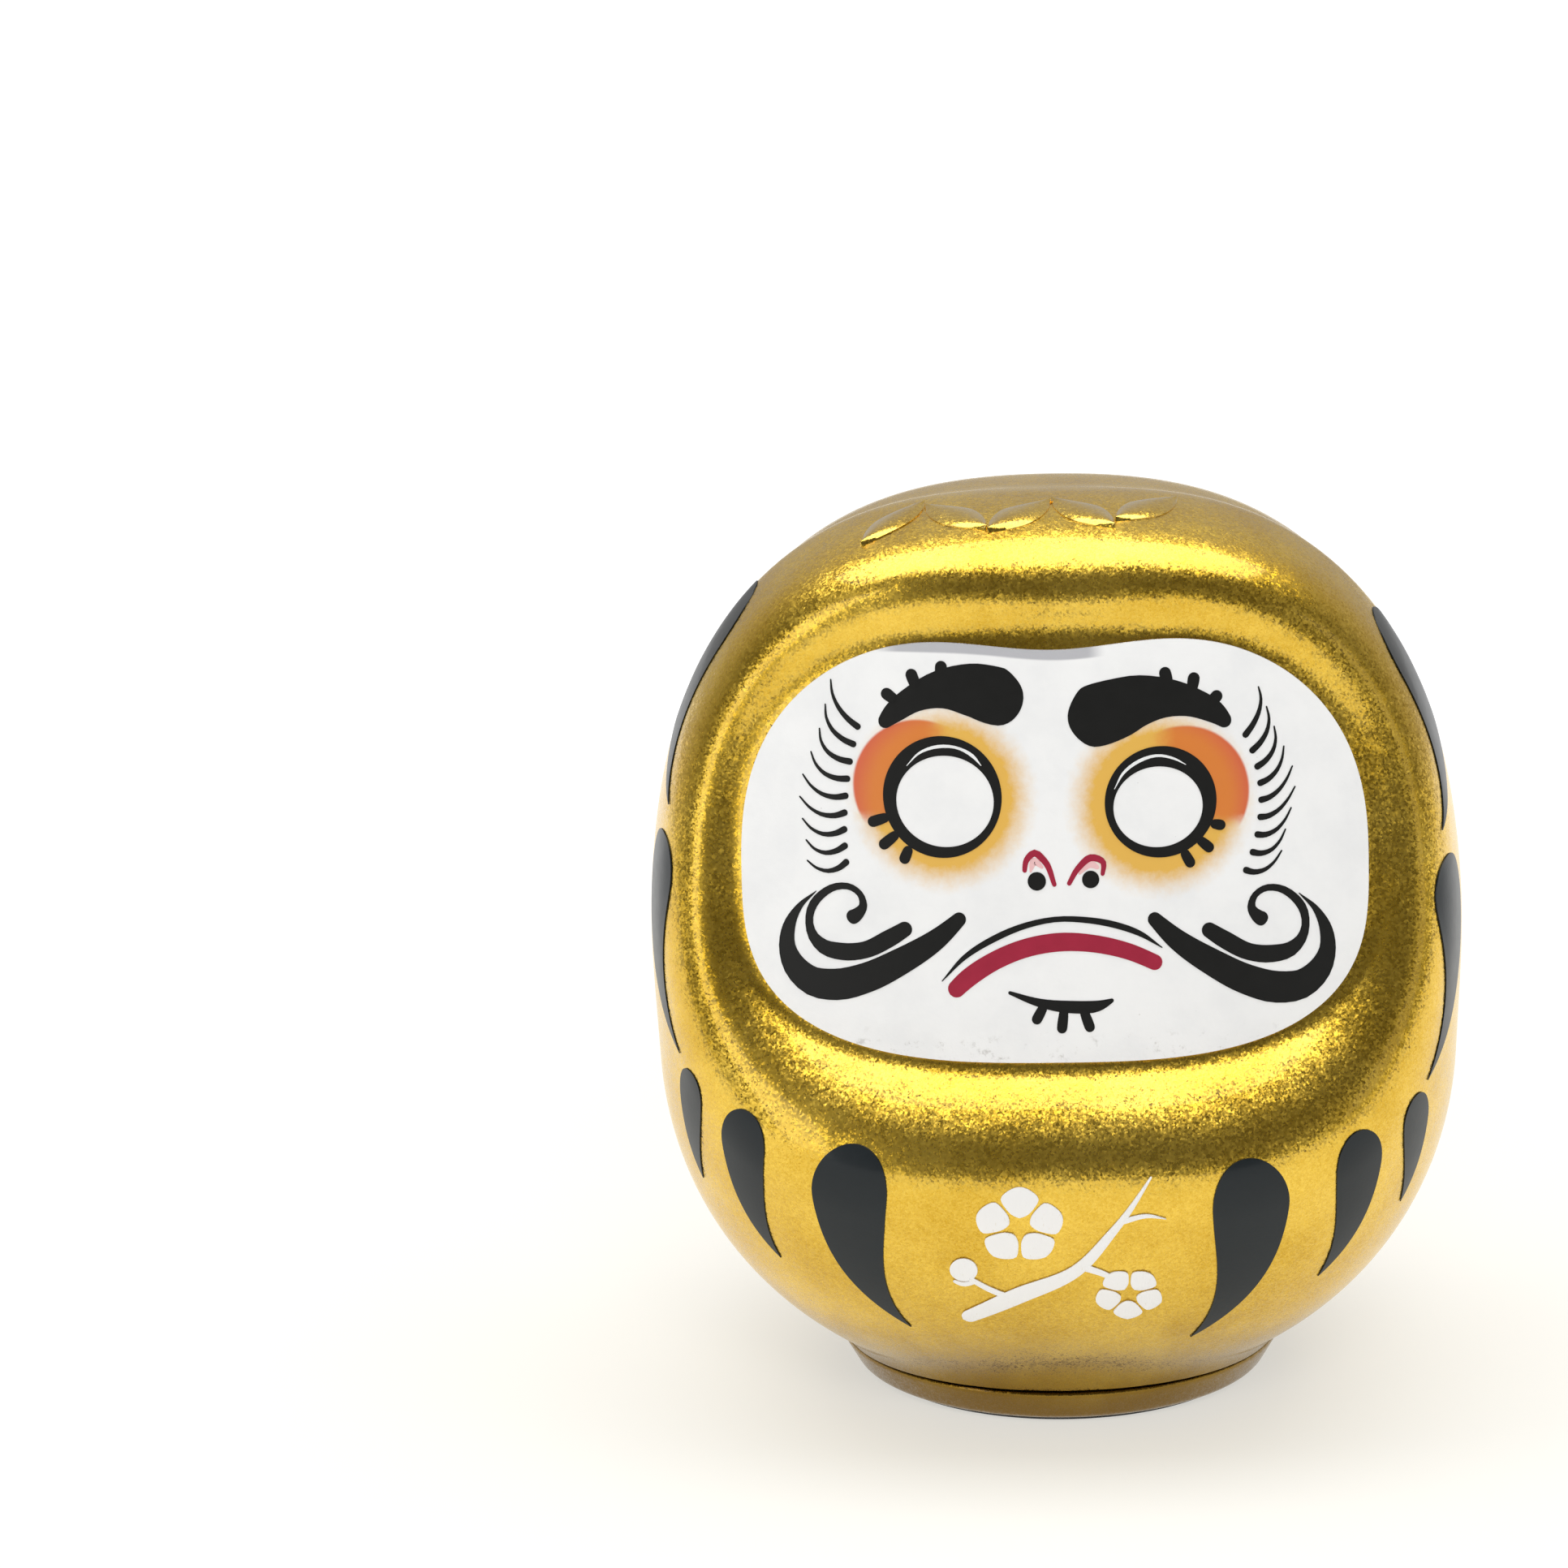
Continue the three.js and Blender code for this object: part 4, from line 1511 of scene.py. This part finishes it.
@dataclass
class BellySprig:
    """The sprig of plum blossom painted on the belly."""

    layer: Layer = Layer(BodyGround(), -0.03, 0.12, 0.08)
    petals: int = 5
    petal: tuple[Pair, ...] = ((0.24, 0.25), (0.48, 0.62), (0.70, 0.84), (0.98, 0.66))

    def blossom(self, across: float, height: float, radius: float, turn: float) -> list[Mark]:
        """Draw round petals with gaps between them.

        Args:
            across: Run of the middle round the body.
            height: Height of the middle.
            radius: Radius of the blossom.
            turn: Angle of the first petal.

        Returns:
            The petals.
        """
        marks: list[Mark] = []
        for i in range(self.petals):
            angle = turn + i * math.tau / self.petals
            c, s = math.cos(angle) * radius, math.sin(angle) * radius
            line = tuple((across + run * c, height + run * s, wide * radius) for run, wide in self.petal)
            marks.append(Stroke(line, 16, 6))
        return marks

    def build(self, paint: Material) -> None:
        """Paint the branch, the bud and both blossoms.

        Args:
            paint: Material of the paint.
        """
        branch = [Stroke(((-9.0, 14.5, 1.5), (-4.0, 17.5, 1.9), (1.5, 20.5, 1.3), (5.0, 25.0, 0.8),
                          (8.5, 30.5, 0.15)), 60, 4),
                  Stroke(((-4.6, 17.3, 0.7), (-6.6, 18.4, 0.6), (-8.3, 19.6, 0.5)), 20),
                  Stroke(((2.2, 21.0, 0.8), (4.6, 19.8, 0.6), (5.6, 18.8, 0.5)), 20),
                  Stroke(((5.6, 26.0, 0.6), (8.2, 26.6, 0.4), (9.8, 26.2, 0.1)), 20)]
        bud = [Dot((-8.8, 20.6), (1.25, 1.35)),
               Stroke(((-7.7, 19.3, 0.5), (-8.9, 18.9, 0.5), (-9.8, 19.3, 0.3)), 12)]
        for name, marks in (("branch", branch), ("bud", bud),
                            ("blossom_large", self.blossom(-3.6, 25.6, 4.2, 0.3)),
                            ("blossom_small", self.blossom(6.4, 17.6, 3.2, 0.9))):
            painted(name, marks, self.layer, paint, Slot.PAINT, f"belly_{name}")


@dataclass
class CrownLeaves:
    """The row of raised varnish leaves on the crown."""

    count: int = 5
    across: float = -2.8
    length: float = 9.0
    width: float = 4.0
    pitch: float = 6.0
    forward: float = 14.5
    bow: float = 0.012
    turn: float = 0.85
    layer: Layer = Layer(CrownGround(), -0.05, 0.12, 0.4)
    profile: tuple[Pair, ...] = ((-0.5, 0.05), (-0.3, 0.62), (0.0, 1.0), (0.3, 0.62), (0.5, 0.05))

    def leaf(self, index: int) -> list[Mark]:
        """Draw one leaf; every second one leans the other way.

        Args:
            index: Place of the leaf in the row.

        Returns:
            Its stroke.
        """
        middle = (index - (self.count - 1) / 2) * self.pitch
        angle = self.turn if index % 2 == 0 else -self.turn
        y = -self.forward + self.bow * middle * middle
        c, s = math.cos(angle) * self.length, math.sin(angle) * self.length
        x = self.across + middle
        line = tuple((x + run * c, y + run * s, self.width * wide) for run, wide in self.profile)
        return [Stroke(line, 40, 10)]

    def build(self, varnish: Material) -> None:
        """Build every leaf.

        Args:
            varnish: Material of the varnished gold.
        """
        for index in range(self.count):
            node = f"crown_leaf_{index + 1}"
            painted(f"leaf_{index + 1}", self.leaf(index), self.layer, varnish, Slot.VARNISH, node)


# ---------------------------------------------------------------- studio


@dataclass(frozen=True)
class Lamp:
    """One soft box, given by the radiance of its face."""

    name: str
    place: Triple
    size: Pair
    radiance: float
    target: Triple = (0.0, 0.0, 0.05)
    shine: bool = True

    def hang(self) -> None:
        """Hang the box so that it faces its target."""
        data = bpy.data.lights.new(self.name, "AREA")
        data.shape = "RECTANGLE"
        data.size, data.size_y = self.size
        data.energy = self.radiance * math.pi * self.size[0] * self.size[1]
        lamp = bpy.data.objects.new(self.name, data)
        bpy.context.scene.collection.objects.link(lamp)
        lamp.location = self.place
        lamp.rotation_mode = "QUATERNION"
        lamp.rotation_quaternion = (Vector(self.target) - Vector(self.place)).to_track_quat("-Z", "Y")
        lamp.visible_glossy = self.shine


@dataclass
class Studio:
    """Pale floor, soft light and the camera."""

    distance: float = 0.45
    elevation: float = 14.6
    roll: float = 0.74
    lens: float = 103.5
    sensor: float = 36.0
    aim_height: float = 0.045
    right_share: float = 0.1726
    down_share: float = 0.0899
    floor_reach: float = 3.0
    floor_fade: Pair = (60.0, 420.0)
    floor_base: Colour = (0.42, 0.415, 0.40, 1.0)
    floor_glow: Colour = (0.58, 0.575, 0.545, 1.0)
    far_base: Colour = (0.3, 0.3, 0.3, 1.0)
    dark_fade: Pair = (240.0, 600.0)
    dark_base: Colour = (0.12, 0.12, 0.12, 1.0)
    dark_glow: Colour = (0.1, 0.1, 0.1, 1.0)
    air_colour: Colour = (1.0, 0.98, 0.95, 1.0)
    air_front: Pair = (-0.2, 0.12)
    air_back: Pair = (0.6, 0.48)
    lamps: tuple[Lamp, ...] = (
        Lamp("top_box", (0.0, 0.0, 0.7), (1.0, 0.52), 3.0, target=(0.0, 0.0, 0.0)),
        Lamp("left_box", (-0.7, -0.7, 0.28), (0.28, 0.7), 2.2),
        Lamp("right_box", (0.9, -0.5, 0.3), (0.3, 0.4), 0.6),
        Lamp("paper_fill", (0.1, -1.1, 0.75), (0.5, 0.4), 8.2, shine=False),
    )

    def camera(self) -> None:
        """Stand the camera in front of the doll, which fills the lower right of its picture."""
        data = bpy.data.cameras.new("camera")
        data.lens = self.lens
        data.sensor_width = self.sensor
        data.clip_start = 0.01
        data.clip_end = 20.0
        camera = bpy.data.objects.new("camera", data)
        bpy.context.scene.collection.objects.link(camera)
        tilt = math.radians(self.elevation)
        back = Vector((0.0, -math.cos(tilt), math.sin(tilt)))
        seen = self.sensor / self.lens
        offset = Vector((self.right_share * seen, -self.down_share * seen, -1.0))
        swing = Vector((0.0, 0.0, -1.0)).rotation_difference(offset)
        camera.rotation_mode = "QUATERNION"
        level = (-back).to_track_quat("-Z", "Y")
        turn = Matrix.Rotation(math.radians(-self.roll), 3, "Z").to_quaternion()
        camera.rotation_quaternion = level @ turn @ swing.inverted()
        camera.location = Vector((0.0, 0.0, self.aim_height)) + back * self.distance
        bpy.context.scene.camera = camera

    def floor(self) -> None:
        """Lay a wide pale floor that fades to white, and looks dark in front when the gold mirrors it."""
        mesh = bmesh.new()
        bmesh.ops.create_grid(mesh, x_segments=1, y_segments=1, size=self.floor_reach)
        data = bpy.data.meshes.new("floor")
        mesh.to_mesh(data)
        mesh.free()
        floor = bpy.data.objects.new("floor", data)
        shader = Shader("pale_floor")
        x, y, _ = shader.axes(shader.millimetres())
        away = ((x ** 2 + y ** 2) ** 0.5).step(*self.floor_fade)
        mirrored = shader.value("ShaderNodeLightPath", None, {}, "Is Glossy Ray")
        ahead = (y * -1.0).step(*self.dark_fade) * mirrored
        base = shader.mix(ahead, shader.mix(away, self.floor_base, self.far_base), self.dark_base)
        glow = shader.mix(ahead, shader.mix(away, self.floor_glow, WHITE), self.dark_glow)
        data.materials.append(
            shader.dress(Base_Color=base, Roughness=0.75, Emission_Color=glow, Emission_Strength=1.0))
        bpy.context.scene.collection.objects.link(floor)

    def air(self) -> None:
        """Fill the room with soft light, dim in front of the doll, brighter behind it and white to look at."""
        world = bpy.data.worlds.new("room")
        bpy.context.scene.world = world
        world.use_nodes = True
        nodes = Nodes(world.node_tree)
        _, back, _ = nodes.axes(nodes.node("ShaderNodeTexCoord").outputs["Generated"])
        strength = nodes.value("ShaderNodeMapRange", None, {
            "Value": back, "From Min": self.air_front[0], "From Max": self.air_back[0],
            "To Min": self.air_front[1], "To Max": self.air_back[1]}, "Result")
        room = nodes.node("ShaderNodeBackground", None, {"Color": self.air_colour, "Strength": strength})
        seen = nodes.node("ShaderNodeBackground", None, {"Color": WHITE})
        looked_at = nodes.value("ShaderNodeLightPath", None, {}, "Is Camera Ray")
        both = nodes.node("ShaderNodeMixShader", None, {0: looked_at, 1: room.outputs[0], 2: seen.outputs[0]})
        nodes.node("ShaderNodeOutputWorld", None, {"Surface": both.outputs[0]})

    def build(self) -> None:
        """Set the whole studio."""
        self.camera()
        self.floor()
        self.air()
        for lamp in self.lamps:
            lamp.hang()
        bpy.context.scene.view_settings.view_transform = "Standard"


# ---------------------------------------------------------------- the doll


def main() -> None:
    """Build the studio and every piece of the doll."""
    logging.basicConfig(level=logging.INFO, format="%(name)s: %(message)s")
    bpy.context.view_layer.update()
    Studio().build()
    gold = GoldLacquer().material()
    felt = Felt().material()
    paper = CoatedPaper().material()
    black = Ink("black_ink", (0.009, 0.009, 0.0085, 1.0)).material()
    crimson = Ink("crimson_ink", (0.33, 0.018, 0.045, 1.0)).material()
    pink = Ink("pink_ink", (0.80, 0.50, 0.50, 1.0)).material()
    white = Ink("white_ink", (0.78, 0.79, 0.79, 1.0)).material()
    film = Ink("black_film", (0.009, 0.013, 0.0155, 1.0), roughness=0.3, coat=0.12).material()
    paint = BrushedPaint().material()
    varnish = GoldLacquer("varnished_gold", grain_tilt=0.1, flake_tilt=0.12, roughness=0.12, lumps=0.02,
                          coat=1.0).material()
    HollowBody().build(gold)
    Foot().build(gold, felt)
    FaceLabel().build(paper)
    PrintedFace().build(black, crimson, pink, white)
    FilmSet().build(film)
    BellySprig().build(paint)
    CrownLeaves().build(varnish)


if __name__ == "__main__":
    main()
